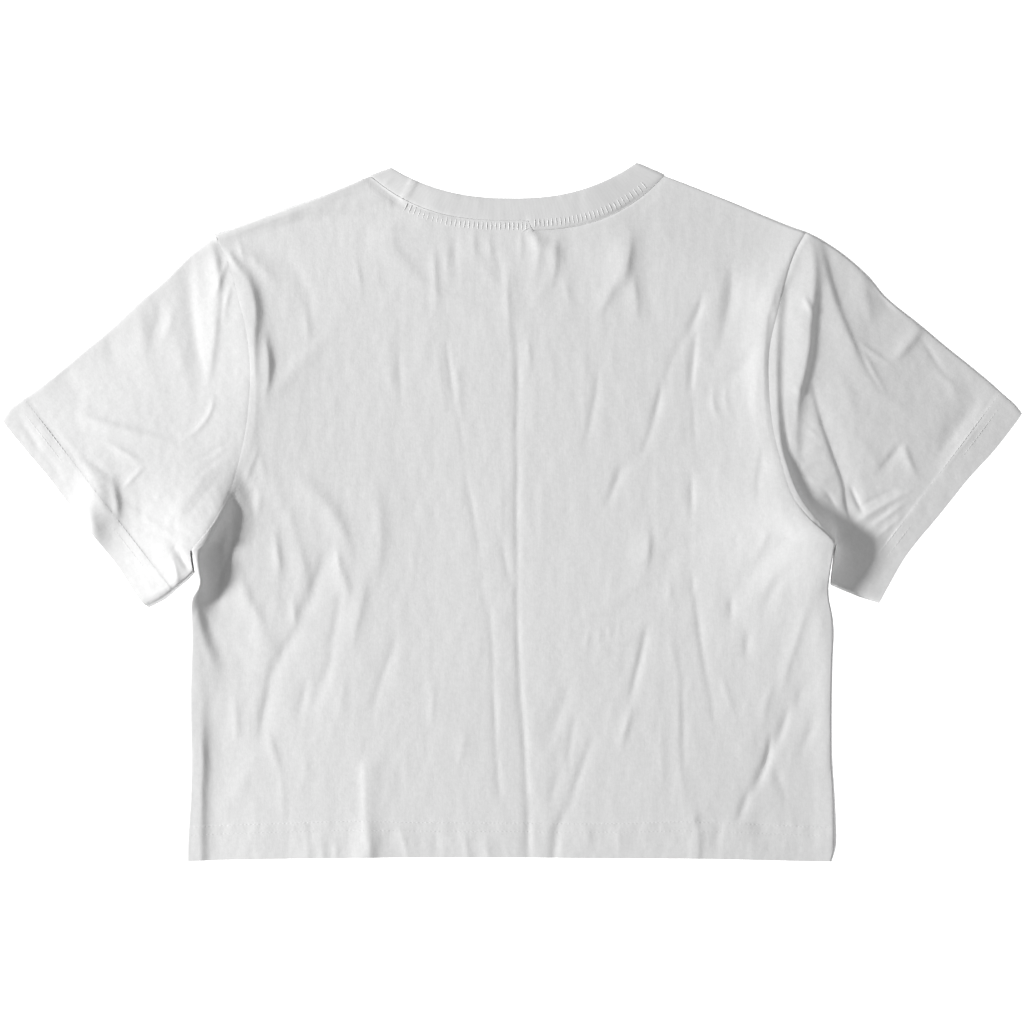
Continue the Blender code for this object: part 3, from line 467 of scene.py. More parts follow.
RIMS = (
    # The left armhole: the body drops away on the right of its seam
    Rim(30, 5, (
        Spot(-203, 184, 0.2), Spot(-197, 178, 0.9), Spot(-191.5, 170, 1.7), Spot(-185.5, 156, 3.0),
        Spot(-183.5, 141, 3.0), Spot(-184.8, 124, 2.4), Spot(-184.5, 108, 1.7),
        Spot(-183.5, 90, 0.9), Spot(-184, 75, 0.6), Spot(-186, 56, 0.6), Spot(-190, 38, 0.5),
    )),
    # The left sleeve's seam, sunk
    Rim(1, 1, (Spot(-214, 199, -0.15), Spot(-210, 192, -0.2), Spot(-205.4, 181, -0.2))),
    Rim(1, 1.1, (
        Spot(-197, 156, -0.1), Spot(-191.6, 138, -0.12), Spot(-188, 115, -0.12),
        Spot(-187, 92, -0.12), Spot(-190, 60, -0.12), Spot(-195.2, 36, -0.12),
        Spot(-201, 15, -0.12), Spot(-210, -3.5, -0.1), Spot(-219, -17, -0.1), Spot(-228, -27, -0.1),
    )),
    # The roll beside it on the sleeve
    Rim(8, 2.6, (
        Spot(-216, 195, 0.3), Spot(-213, 187, 0.8), Spot(-210.5, 176, 1.5), Spot(-209.6, 166, 1.4),
        Spot(-209.4, 158, 0.9), Spot(-210.5, 140, 0.6), Spot(-214, 112, 0.5), Spot(-217, 94, 0.3),
    )),
    # The left underarm stands up, over a pocket in the body
    Rim(14, 4, (
        Spot(-199.5, 20, 0.2), Spot(-203, 10, 1.0), Spot(-208, 0, 2.0), Spot(-214, -10, 2.0),
        Spot(-220, -19, 1.0),
    )),
    Rim(62, 5.5, (
        Spot(-192, 38, 0.1), Spot(-196, 25, 0.5), Spot(-200, 13, 1.4), Spot(-204, 2, 4.8),
        Spot(-210, -8, 9.2), Spot(-217, -20, 13.4), Spot(-223.5, -31, 15.6), Spot(-223, -39, 15.8),
        Spot(-222, -47, 14.6), Spot(-223, -55, 11.0), Spot(-225, -63, 6.4), Spot(-223.5, -78, 4.2),
        Spot(-220, -92, 3.0), Spot(-213.5, -108, 1.5), Spot(-208, -121, 0.0),
    )),
    Rim(3, 4, (
        Spot(-199, 10, -1.0), Spot(-199, -16, -2.4), Spot(-207, -42, -2.2), Spot(-213, -56, -0.8),
    )),
    Rim(2.4, 2.4, (Spot(-242, -32, 0.2), Spot(-238.6, -43, 0.8), Spot(-238.5, -54, 0.5))),
    Rim(3, 3, (Spot(-240, -26, -0.8), Spot(-235, -33, -1.6), Spot(-231, -39, -1.0))),
    Rim(5, 5, (Spot(-262, -66, 0.3), Spot(-251, -61, 0.8), Spot(-241, -53, 0.5))),
    # Down the left side
    Rim(60, 5, (
        Spot(-227, -96, 0.2), Spot(-223, -122, 0.6), Spot(-222, -140, 1.0), Spot(-221.8, -155, 1.9),
        Spot(-221.8, -170, 3.0), Spot(-221.4, -182, 2.8), Spot(-222.4, -200, 2.3),
        Spot(-222.4, -220, 2.1), Spot(-223.2, -250, 1.8),
    )),
    # Along the bottom edge, rolled under
    Rim(1.6, 1.6, (Spot(-104, -248, -1.2), Spot(-65, -248.6, -1.3), Spot(-24, -248.8, -0.8))),
    # The neck seam, sunk where it is rolled down and at its left end
    Rim(1.2, 1.2, (
        Spot(14, 200.6, -0.5), Spot(35, 202.4, -0.8), Spot(55, 206.6, -0.8), Spot(75, 214.6, -0.8),
        Spot(95, 227.6, -1.0), Spot(108, 238.5, -1.0),
    )),
    Rim(1.2, 1.2, (
        Spot(-102, 238.5, -1.0), Spot(-92.5, 231, -0.9), Spot(-80, 222.4, -0.7),
        Spot(-60, 215, -0.3), Spot(-40, 210.8, -0.2),
    )),
    # The left shoulder seam, turned to the back
    Rim(4, 4, (
        Spot(-211, 197.5, 0.8), Spot(-180, 208.5, 1.5), Spot(-140, 222.5, 1.4),
        Spot(-108, 236, 0.9),
    )),
    # The whole right sleeve slopes away from the armhole
    Rim(38, 85, (Spot(222, 196, 2.6), Spot(222, 90, 3.6), Spot(234, -10, 2.2))),
    # The right armhole: the body rises to its sunk seam
    Rim(13, 4, (
        Spot(203, 196, 0.2), Spot(193, 172, 0.8), Spot(186.5, 156, 1.1), Spot(182, 140, 1.3),
        Spot(180, 120, 1.4), Spot(179, 100, 1.4), Spot(180.5, 70, 0.8), Spot(184, 50, 0.4),
        Spot(190, 34, 0.3),
    )),
    Rim(1, 1.1, (
        Spot(210.5, 200.5, -0.6), Spot(202, 185, -0.55), Spot(195.8, 166, -0.45),
        Spot(189, 140, -0.25), Spot(184.2, 119, -0.25), Spot(183.2, 95, -0.25),
        Spot(186, 62, -0.12), Spot(192.8, 33, -0.12), Spot(199.8, 12, -0.12),
        Spot(210.3, -3.5, -0.2),
    )),
    # Its lip, and the drop to the sleeve and the right underarm
    Rim(32, 3.4, (
        Spot(212, 199, 0.3), Spot(204, 186, 0.3), Spot(196.5, 168, 1.0), Spot(191.5, 156, 2.0),
        Spot(190, 140, 1.5), Spot(188.8, 118, 2.1), Spot(188.4, 95, 2.2), Spot(189.6, 66, 2.1),
        Spot(192, 46, 2.6), Spot(196.6, 31, 4.0), Spot(203.5, 13, 4.4), Spot(212, 0, 3.5),
        Spot(222, -11, 1.5),
    )),
    Rim(62, 1.5, (
        Spot(188, 46, 0.2), Spot(196, 26, 0.8), Spot(206, 6, 2.6), Spot(217, -9, 7.6),
        Spot(229, -20, 13.6), Spot(228, -33, 14.6), Spot(226, -47, 13.2), Spot(225.6, -56, 10.2),
        Spot(227.4, -68, 8.6), Spot(228.8, -84, 6.8), Spot(228.4, -105, 4.8), Spot(228, -135, 2.8),
        Spot(227.4, -175, 0.8),
    )),
    Rim(18, 1.6, (
        Spot(228, -62, 0.6), Spot(229, -84, 2.0), Spot(228, -120, 2.3), Spot(227.8, -160, 2.2),
        Spot(229.8, -220, 2.1), Spot(229.2, -250, 1.6),
    )),
    Rim(2, 1.8, (
        Spot(196.5, 160, -0.3), Spot(195.8, 142, -0.15), Spot(194.2, 112, -0.15),
        Spot(193.4, 90, -0.15), Spot(194.6, 66, -0.3), Spot(197.5, 48, -0.3),
    )),
    # Rolls on the right sleeve, and the deep tuck beneath them
    Rim(30, 4.6, (
        Spot(213, 201, 0.4), Spot(214, 190, 1.4), Spot(215.5, 176, 2.4), Spot(215.5, 163, 3.0),
        Spot(214.5, 150, 3.4), Spot(212.5, 134, 3.6), Spot(211.5, 119, 3.8), Spot(208.2, 100, 3.8),
        Spot(205.6, 90, 3.7), Spot(203.6, 80, 3.0), Spot(202.6, 64, 1.7), Spot(202.5, 50, 1.2),
        Spot(203, 38, 0.5),
    )),
    Rim(12, 2.6, (
        Spot(218, 196, 0.4), Spot(221, 186, 1.0), Spot(224.6, 170, 1.5), Spot(228.8, 156, 1.5),
        Spot(234, 141, 1.2), Spot(242.2, 122, 1.2), Spot(247.3, 110, 0.9), Spot(252, 100, 0.6),
        Spot(260, 87, 0.3), Spot(268, 76, 0.0),
    )),
    Rim(2.2, 10, (
        Spot(216, 86, -0.6), Spot(220.5, 68, -1.2), Spot(226.5, 50, -1.2), Spot(232.3, 34, -1.3),
        Spot(237.2, 20, -1.2), Spot(239, 5, -1.4), Spot(243, -8, -0.6),
    )),
)

# ---------------------------------------------------------------- what a maker may change


def linear(hex_colour):
    """An sRGB hex colour as linear red, green and blue."""
    shares = [int(hex_colour[k : k + 2], 16) / 255.0 for k in (1, 3, 5)]
    return [s / 12.92 if s <= 0.04045 else ((s + 0.055) / 1.055) ** 2.4 for s in shares]


def length(name, words, millimetres):
    """A property that holds a length."""
    return FloatProperty(name=name, description=words, default=millimetres * MM, unit="LENGTH")


def colour(name, words, hex_colour):
    """A property that holds a colour."""
    return FloatVectorProperty(
        name=name, description=words, default=linear(hex_colour), subtype="COLOR"
    )


class CropTopCut(bpy.types.PropertyGroup):
    """Sizes of the cloth and of how it lies."""

    wall: length("Wall", "Thickness that one layer of cloth is drawn with", 1.0)
    edge_top: length("Folded edge", "Height of two layers at a folded edge", 2.1)
    rest_top: length("Resting height", "Height of two layers away from the edges", 3.6)
    body_hem: length("Bottom hem", "Depth of the bottom hem", 25.0)
    sleeve_hem: length("Sleeve hem", "Depth of the sleeve hems", 22.0)
    hem_ply: length("Hem ply", "How far a turned-up hem stands proud", 0.3)
    relief: FloatProperty(
        name="Relief", description="Scales the height of every crease", default=1.0, min=0.0
    )


class CropTopCloth(bpy.types.PropertyGroup):
    """Colours and knit of the cloth and its thread."""

    jersey: colour("Jersey", "Colour of the panels and sleeves", "#DADADA")
    rib: colour("Rib", "Colour of the neckband", "#D8D8D8")
    thread: colour("Thread", "Colour of the sewing thread", "#E0E0E0")
    floor: colour("Floor", "Colour of the floor", "#FAFAFA")
    wale: length("Wale", "Spacing of the wales, drawn coarser than the knit's 0.8 mm", 1.5)


class CropTopLight(bpy.types.PropertyGroup):
    """Strength of the studio light."""

    key: FloatProperty(name="Key", description="Power of the softbox, in watts", default=222.0)
    reflector: FloatProperty(
        name="Reflector", description="Power that the right side gives back, in watts", default=14.0
    )
    fill: FloatProperty(name="Fill", description="Strength of the white room", default=0.27)
    floor_glow: FloatProperty(
        name="Floor glow", description="Light that the backlit floor gives off", default=1.0
    )


# ---------------------------------------------------------------- curves and patches


def ease(value):
    """Ease from 0 to 1, held flat outside."""
    held = np.clip(value, 0.0, 1.0)
    return held * held * (3.0 - 2.0 * held)


def side_points(rows, side):
    """One side's points of a table of edges; side is -1 on the left and 1 on the right."""
    if side < 0:
        return [(row.left_x, row.left_y) for row in rows]
    return [(row.right_x, row.right_y) for row in rows]


def curve(points):
    """A function from shares of 0..1 to points of a smooth curve, even in chord length."""
    points = np.array(points, float)
    reach = np.concatenate(((0.0,), np.cumsum(np.linalg.norm(np.diff(points, axis=0), axis=1))))
    before = np.maximum(np.arange(len(points)) - 1, 0)
    after = np.minimum(np.arange(len(points)) + 1, len(points) - 1)
    slopes = (points[after] - points[before]) / (reach[after] - reach[before])[:, None]

    def at(shares):
        along = np.asarray(shares, float) * reach[-1]
        k = np.clip(np.searchsorted(reach, along, side="right") - 1, 0, len(points) - 2)
        span = (reach[k + 1] - reach[k])[..., None]
        t = (along - reach[k])[..., None] / span
        start = (2 * t**3 - 3 * t**2 + 1) * points[k] + (t**3 - 2 * t**2 + t) * span * slopes[k]
        end = (3 * t**2 - 2 * t**3) * points[k + 1] + (t**3 - t**2) * span * slopes[k + 1]
        return start + end

    return at


def joined(low, high, share):
    """Two curves end to end, meeting at a share of the whole."""

    def at(shares):
        shares = np.asarray(shares, float)[..., None]
        first = low(np.clip(shares[..., 0] / share, 0.0, 1.0))
        second = high(np.clip((shares[..., 0] - share) / (1.0 - share), 0.0, 1.0))
        return np.where(shares <= share, first, second)

    return at


def patch(south, north, west, east, u, v, mix=None):
    """Points of the cloth between four edges, for each u (columns) and v (rows).

    mix is the pull of the west edge and of the east one on each column, where it isn't even."""
    low, high = south(u)[None], north(u)[None]
    left, right = west(v)[:, None], east(v)[:, None]
    to_west, to_east = mix or (1.0 - u, u)
    to_west, to_east = to_west[None, :, None], to_east[None, :, None]
    v = v[:, None, None]
    sides = to_west * left + to_east * right
    corners_low = to_west * low[:, :1] + to_east * low[:, -1:]
    corners_high = to_west * high[:, :1] + to_east * high[:, -1:]
    return (1 - v) * (low - corners_low) + v * (high - corners_high) + sides


UNDERARM_SHARE, SAG_SHARE = 0.5, 0.94
NECK_LEFT_SHARE, NECK_RIGHT_SHARE = 0.272, 0.748


def body_edge(side):
    """The body's edge from the hem corner up to the shoulder tip."""
    low, high = curve(side_points(SIDE, side)), curve(side_points(ARMHOLE, side))
    return joined(low, high, UNDERARM_SHARE)


def back_neck(tips, middle_y, bend, drop=0.0):
    """A shallow neckline between two points, through its lowest height."""

    def at(shares):
        x = tips[0][0] + np.asarray(shares, float) * (tips[1][0] - tips[0][0])
        end_x = np.where(x < 0, tips[0][0], tips[1][0])
        end_y = np.where(x < 0, tips[0][1], tips[1][1])
        y = middle_y + (end_y - middle_y) * np.abs(x / end_x) ** bend
        past = np.clip((x - STEP_X) / (tips[1][0] - STEP_X), 0.0, 1.0)
        y -= drop * ease((x - STEP_X) / STEP_RUN) * (1.0 - past**4)
        return np.stack((x, y), axis=-1)

    return at


def front_neck(tips, middle_y):
    """A deep round neckline between two points, through its lowest height."""

    def at(shares):
        turn = math.pi * (np.asarray(shares, float) - 0.5)
        end_x = np.where(turn < 0, -tips[0][0], tips[1][0])
        end_y = np.where(turn < 0, tips[0][1], tips[1][1])
        fall = np.clip(np.cos(turn), 0.0, 1.0) ** SCOOP_BEND
        return np.stack((np.sin(turn) * end_x, end_y - (end_y - middle_y) * fall), axis=-1)

    return at


NECK_POINTS = NECK_POINT[:2], NECK_POINT[2:]
NECK_TIPS = NECK_TIP[:2], NECK_TIP[2:]
NECKLINES = {
    "back": (
        back_neck(NECK_POINTS, BACK_SEAM_Y, SEAM_BEND, STEP_DROP),
        back_neck(NECK_TIPS, BACK_EDGE_Y, EDGE_BEND),
    ),
    "front": (front_neck(NECK_POINTS, FRONT_SEAM_Y), front_neck(NECK_TIPS, FRONT_EDGE_Y)),
}


def top_edge(neck):
    """A panel's upper edge: a shoulder, the neck, and the other shoulder."""
    left, right = curve(side_points(SHOULDER, -1)), curve(side_points(SHOULDER, 1))

    def at(shares):
        shares = np.asarray(shares, float)
        inner = (shares - NECK_LEFT_SHARE) / (NECK_RIGHT_SHARE - NECK_LEFT_SHARE)
        points = neck(np.clip(inner, 0.0, 1.0))
        on_left, on_right = shares < NECK_LEFT_SHARE, shares > NECK_RIGHT_SHARE
        points[on_left] = left(shares[on_left] / NECK_LEFT_SHARE)
        points[on_right] = right((1.0 - shares[on_right]) / (1.0 - NECK_RIGHT_SHARE))
        return points

    return at


# ---------------------------------------------------------------- height of the upper layer

CURVE_CUTS = 12  # straight stretches that stand for a crease
REACH = 6.0  # how many widths away a crease is still felt
HEM_TOP_Y, HEM_FADE = -221.0, 3.0  # where the turned-up hem starts to pucker
REST_RUN = 60.0  # how far from a folded edge the cloth reaches its resting height
CREASE_RUN, RIM_RUN = 4.0, 1.1  # and how far from it creases and rims reach theirs
LANDING = 0.4  # how softly a trough comes to lie on the layer beneath

# Unevenness of the cloth and of its puckered hem: height, sizes in x and y, and random seed
Swell = namedtuple("Swell", "height size_x size_y seed")
SWELLS = (
    Swell(0.05, 9.0, 60.0, 4),
    Swell(0.04, 5.0, 16.0, 5),
    Swell(0.07, 4.0, 5.0, 9),
    Swell(0.09, 8.0, 11.0, 10),
    Swell(0.35, 60.0, 80.0, 6),
)
PUCKERS = (Swell(0.11, 5.0, 6.0, 7), Swell(0.06, 3.0, 5.0, 8))
# How far the creases wander from their curves, in x and in y
STRAY_X, STRAY_Y = (Swell(0.7, 22.0, 30.0, 1),), (Swell(0.7, 26.0, 26.0, 2),)
WAVE_CELLS, WAVE_SHIFT = 64, 400.0  # size of the random grid, and where in it the middle lies


def wave(x, y, size_x, size_y, seed):
    """Soft random swells about size_x by size_y across, from about -1 to 1."""
    grid = np.random.default_rng(seed).uniform(-1.0, 1.0, (WAVE_CELLS, WAVE_CELLS))
    x, y = np.asarray(x) / size_x + WAVE_SHIFT, np.asarray(y) / size_y + WAVE_SHIFT
    column, row = np.floor(x).astype(int), np.floor(y).astype(int)
    s, t = ease(x - column), ease(y - row)
    here, beside = column % WAVE_CELLS, (column + 1) % WAVE_CELLS

    def across(line):
        cells = grid[line % WAVE_CELLS, here], grid[line % WAVE_CELLS, beside]
        return cells[0] * (1 - s) + cells[1] * s

    return across(row) * (1 - t) + across(row + 1) * t


def uneven(swells, x, y):
    """How high a table of swells stands at each point."""
    return sum(row.height * wave(x, y, row.size_x, row.size_y, row.seed) for row in swells)


def crease_line(crease):
    """Points along one crease, and its height at each."""
    start, middle, end = (np.array(crease[k : k + 2], float) for k in (0, 2, 4))
    pull = 2.0 * middle - 0.5 * (start + end)
    t = np.linspace(0.0, 1.0, CURVE_CUTS + 1)
    s = t[:, None]
    line = (1 - s) ** 2 * start + 2 * s * (1 - s) * pull + s**2 * end
    tops = crease.height * 4 * t * (1 - t)
    tops += crease.start * (1 - t) * (1 - 2 * t) + crease.end * t * (2 * t - 1)
    return line, tops


def rim_line(rim):
    """Points along one rim, and its height at each."""
    places = np.array([(spot.x, spot.y) for spot in rim.path], float)
    reach = np.concatenate(((0.0,), np.cumsum(np.linalg.norm(np.diff(places, axis=0), axis=1))))
    shares = np.linspace(0.0, 1.0, 3 * len(places))
    tops = np.interp(shares * reach[-1], reach, [spot.height for spot in rim.path])
    return curve(places)(shares), tops


def add_ridge(height, x, y, line, tops, west, east):
    """Add one ridge to the heights of the points that feel it."""
    reach = REACH * max(west, east)
    low, high = line.min(axis=0) - reach, line.max(axis=0) + reach
    near = (x > low[0]) & (x < high[0]) & (y > low[1]) & (y < high[1])
    px, py = x[near], y[near]
    if not len(px):
        return
    best = np.zeros(px.shape)
    for k in range(len(line) - 1):
        step_x, step_y = line[k + 1] - line[k]
        step = math.hypot(step_x, step_y)
        along = (px - line[k, 0]) * step_x + (py - line[k, 1]) * step_y
        along = np.clip(along / step**2, 0.0, 1.0)
        off_x = px - line[k, 0] - along * step_x
        off_y = py - line[k, 1] - along * step_y
        gap = np.hypot(off_x, off_y)
        lean = (step_x * off_y - step_y * off_x) / (step * gap + 1e-6)
        # All west on one side, all east on the other, and in between past the ends
        width = west * (east / west) ** (0.5 + 0.5 * lean)
        top = tops[k] + along * (tops[k + 1] - tops[k])
        here = top / (1.0 + (gap / width) ** 2) ** 1.5
        best = np.where(np.abs(here) > np.abs(best), here, best)
    height[near] += best


def raised(rows, lay_out, x, y):
    """How high a table of creases or rims stands at each point."""
    height = np.zeros(x.size)
    for row in rows:
        add_ridge(height, x.ravel(), y.ravel(), *lay_out(row), row.west, row.east)
    return height.reshape(x.shape)


def upper_top(cut, points, to_fold):
    """Height of the upper layer's outside at each point, to_fold from a folded edge."""
    x, y = points[..., 0], points[..., 1]
    bent_x, bent_y = x + uneven(STRAY_X, x, y), y + uneven(STRAY_Y, x, y)
    height = raised(CREASES, crease_line, bent_x, bent_y) + uneven(SWELLS, x, y)
    height += ease((HEM_TOP_Y - y) / HEM_FADE) * uneven(PUCKERS, x, y)
    loose = (cut.rest_top - cut.edge_top) / MM * ease(to_fold / REST_RUN)
    loose += cut.relief * height * ease(to_fold / CREASE_RUN)
    loose += cut.relief * raised(RIMS, rim_line, x, y) * ease(to_fold / RIM_RUN)
    # Where a trough would press into the layer beneath, it lies on it
    return cut.edge_top / MM + 0.5 * (loose + np.sqrt(loose**2 + LANDING**2))


# ---------------------------------------------------------------- cloth


def new_piece(name, bm, material, nodes):
    """Make the finished mesh an object that stands for its nodes."""
    mesh = bpy.data.meshes.new(name)
    bm.to_mesh(mesh)
    bm.free()
    mesh.shade_smooth()
    mesh.materials.append(material)
    piece = bpy.data.objects.new(name, mesh)
    bpy.context.scene.collection.objects.link(piece)
    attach(piece, "root")
    if nodes:
        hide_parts(*nodes)
    return piece


def placed_grid(points, flat, close_columns=False, close_rows=False):
    """A bmesh grid with its corners at points and its UV map at flat, in millimetres."""
    if close_columns:
        points = np.concatenate((points, points[:, :1]), axis=1)
        flat = np.concatenate((flat, flat[:, :1]), axis=1)
    if close_rows:
        points = np.concatenate((points, points[:1]), axis=0)
        flat = np.concatenate((flat, flat[:1]), axis=0)
    rows, columns = points.shape[:2]
    bm = bmesh.new()
    bmesh.ops.create_grid(bm, x_segments=columns - 1, y_segments=rows - 1, size=1.0)
    uv_layer = bm.loops.layers.uv.new("Cloth")
    spots = (points * MM).reshape(-1, 3)
    uvs = (flat * MM).reshape(-1, 2)
    bm.verts.index_update()
    for face in bm.faces:
        for loop in face.loops:
            loop[uv_layer].uv = uvs[loop.vert.index]
    for vert, spot in zip(bm.verts, spots):
        vert.co = spot
    if close_columns or close_rows:
        bmesh.ops.remove_doubles(bm, verts=bm.verts, dist=1e-7)
    for edge in bm.edges:
        edge.smooth = not edge.is_boundary
    return bm


def add_wall(piece, thickness):
    """Give a sheet its wall, inwards from its outside."""
    wall = piece.modifiers.new("Wall", "SOLIDIFY")
    wall.thickness = thickness
    wall.offset = -1.0


def even(start, end, step):
    """Shares from start to end, both included, no further apart than step."""
    return np.linspace(start, end, max(2, int(round((end - start) / step)) + 1))


def edge_drop(cut, to_fold):
    """How far a folded edge's outside has turned down, at to_fold from the edge."""
    radius = 0.5 * cut.edge_top / MM
    inside = np.clip(1.0 - to_fold / radius, 0.0, 1.0)
    return radius * (1.0 - np.sqrt(1.0 - inside**2))


# Rows and columns of the grids, as shares of the cloth, closest where a folded edge turns
EDGE_SHARES = np.array((0.0, 0.0006, 0.0014, 0.0026))
SLEEVE_FOLD_SHARES = np.array((0.0, 0.0009, 0.0025, 0.0045))
FOLD_SHARE, SLEEVE_FOLD_SHARE = 0.005, 0.01  # where the even columns and rows start
HEM_ROW, BODY_ROW, PLY_ROWS = 3.0, 3.6, (-1.2, -0.4, 0.4, 1.2)  # in millimetres
BACK_STEP = 1.4 / BODY_WIDTH
FRONT_STEP, FRONT_STEEP = 0.012, 0.03
SLEEVE_ALONG_STEP, SLEEVE_UPPER_STEP, SLEEVE_LOWER_STEP = 0.0092, 0.0072, 0.04
NECKBAND_STEP = 1.0 / 150.0
SIDE_PULL = 6  # how soon the sides stop bending the columns
HEM_EDGE = 450.0  # steepness of the step at the top of the bottom hem
CUFF_EDGE = 1.5  # and the run of the one on the sleeves
SEWN = 4000.0  # how soon the sides stop counting as folded, above the underarm
INNER_SHARES = (0.0, 0.5, SAG_SHARE, 1.0)  # points of a sleeve's inner edge
FACING_SHARES = (0.0, 0.48, 0.82, 1.0)  # and those of the cuff that they face
BAND_CORNERS, TIP_TURNS = 32, 5  # points round the band's section, and round each tip
BAND_GIRTH = 35.0  # round its section


def across_shares(step, steep=0.0):
    """Where the body's columns lie, with one at each end of the neckline and none in the
    steep share of it beside them."""
    left = even(FOLD_SHARE, NECK_LEFT_SHARE, step)
    neck = even(NECK_LEFT_SHARE + steep, NECK_RIGHT_SHARE - steep, step)
    neck = neck if steep else neck[1:-1]
    right = even(NECK_RIGHT_SHARE, 1.0 - FOLD_SHARE, step)
    return np.concatenate((EDGE_SHARES, left, neck, right, 1.0 - EDGE_SHARES[::-1]))


def hem_share(cut):
    """The share of the body's edge at which its hem ends."""
    return UNDERARM_SHARE * cut.body_hem / MM / SIDE_LENGTH


def up_shares(cut):
    """Where the back's rows lie, up from the hem."""
    one_mm = UNDERARM_SHARE / SIDE_LENGTH
    ply = hem_share(cut)
    hem = even(0.0, ply - HEM_ROW * one_mm, HEM_ROW * one_mm)
    step = ply + one_mm * np.array(PLY_ROWS)
    body = even(ply + 3.4 * one_mm, 1.0 - 2.6 * one_mm, BODY_ROW * one_mm)
    return np.concatenate((hem, step, body, 1.0 - EDGE_SHARES[::-1]))


def body_points(across, up, which):
    """Places of the body's grid, and how far each is from a folded edge."""
    hem, top = curve(HEM_LINE), top_edge(NECKLINES[which][0])
    left, right = body_edge(-1), body_edge(1)
    top_x = top(across)[:, 0]
    level = (top_x - top_x[0]) / (top_x[-1] - top_x[0])
    mix = (1.0 - level) ** SIDE_PULL, level**SIDE_PULL
    points = patch(lambda _: hem(level), top, left, right, across, up, mix)
    width = np.linalg.norm(right(up) - left(up), axis=1)[:, None]
    u, v = across[None, :], up[:, None]
    to_side = np.minimum(u, 1.0 - u) * width + np.maximum(v - UNDERARM_SHARE, 0.0) * SEWN
    on_neck = (u - NECK_LEFT_SHARE) / (NECK_RIGHT_SHARE - NECK_LEFT_SHARE)
    from_tip = np.maximum(np.minimum(on_neck, 1.0 - on_neck), 0.0) * TIP_TO_TIP
    to_top = from_tip + top(across)[None, :, 1] - points[..., 1]
    return points, np.minimum(to_side, to_top)


def make_back(cut, cloth):
    """The back panel, with its creases, its turned-up hem and its edges rolled down."""
    across, up, ply = across_shares(BACK_STEP), up_shares(cut), hem_share(cut)
    points, to_fold = body_points(across, up, "back")
    z = upper_top(cut, points, to_fold) - edge_drop(cut, to_fold)
    z += cut.hem_ply / MM * (1.0 - ease((up - ply) * HEM_EDGE + 0.5))[:, None]
    bm = placed_grid(np.dstack((points, z)), points)
    piece = new_piece("back_panel", bm, jersey_material(cloth), ["back"])
    add_wall(piece, cut.wall)


def make_front(cut, cloth):
    """The front panel, flat on the floor with its outside down."""
    up = np.concatenate((even(0.0, 0.994, FRONT_STEP), 1.0 - EDGE_SHARES[::-1]))
    points, to_fold = body_points(across_shares(FRONT_STEP, FRONT_STEEP), up, "front")
    z = edge_drop(cut, to_fold)
    bm = placed_grid(np.dstack((points, z)), points)
    # The scoop leaves the shoulder so upright that a cell or two there cross, and are left out
    bm.normal_update()
    crossed = [face for face in bm.faces if face.normal.z < 0.0]
    bmesh.ops.delete(bm, geom=crossed, context="FACES")
    bmesh.ops.reverse_faces(bm, faces=bm.faces)
    piece = new_piece("front_panel", bm, jersey_material(cloth), ["front"])
    add_wall(piece, cut.wall)


def sleeve_patch(side, along, across):
    """Places of one layer of a sleeve, and its width at each row."""
    cuff = curve(side_points(CUFF, side))

    def fanned_cuff(shares):
        """The cuff, with its points spread to face those of the inner edge."""
        return cuff(np.interp(shares, INNER_SHARES, FACING_SHARES))

    armhole = curve(side_points(ARMHOLE, side)[::-1])
    inner = joined(armhole, curve(side_points(SAG, side)), SAG_SHARE)
    top, under = curve(side_points(SLEEVE_TOP, side)), curve(side_points(SLEEVE_UNDER, side))
    points = patch(top, under, inner, fanned_cuff, along, across)
    width = np.linalg.norm(under(along) - top(along), axis=1)
    return points, width[None, :]


def from_cuff(side, points):
    """How far points are from the straight line along the cuff."""
    top, under = np.array(side_points(CUFF, side))[[0, -1]]
    run = (under - top) / np.linalg.norm(under - top)
    return -side * ((points[..., 0] - top[0]) * -run[1] + (points[..., 1] - top[1]) * run[0])


def make_sleeve(name, cad_node, side, cut, cloth):
    """One sleeve: a flattened tube, its upper layer creased and its lower one flat."""
    along = even(0.0, 1.0, SLEEVE_ALONG_STEP)

    def layer(step):
        middle = even(SLEEVE_FOLD_SHARE, 1.0 - SLEEVE_FOLD_SHARE, step)
        across = np.concatenate((SLEEVE_FOLD_SHARES, middle, 1.0 - SLEEVE_FOLD_SHARES[::-1]))
        points, width = sleeve_patch(side, along, across)
        to_fold = np.minimum(across, 1.0 - across)[:, None] * width
        return points, to_fold, edge_drop(cut, to_fold)

    points, to_fold, drop = layer(SLEEVE_UPPER_STEP)
    top = upper_top(cut, points, to_fold) - drop
    into_hem = cut.sleeve_hem / MM - from_cuff(side, points)
    top += cut.hem_ply / MM * ease(into_hem / CUFF_EDGE + 0.5)
    under, _, rise = layer(SLEEVE_LOWER_STEP)
    under, rise = under[1:-1][::-1], rise[1:-1][::-1]
    ring = np.concatenate((np.dstack((points, top)), np.dstack((under, rise))), axis=0)
    down = points[:, -1:] - points[:, :1]
    axis = down.mean(axis=(0, 1)) / np.linalg.norm(down.mean(axis=(0, 1)))
    # The knit follows the sleeve's own length, and the lower layer's lies beside it
    unturn = np.array(((-axis[1], -axis[0]), (axis[0], -axis[1])))
    flat = np.concatenate((points @ unturn, under @ unturn + (500.0, 0.0)), axis=0)
    bm = placed_grid(ring, flat, close_rows=True)
    bmesh.ops.recalc_face_normals(bm, faces=bm.faces)
    piece = new_piece(name, bm, jersey_material(cloth), [cad_node])
    add_wall(piece, cut.wall)


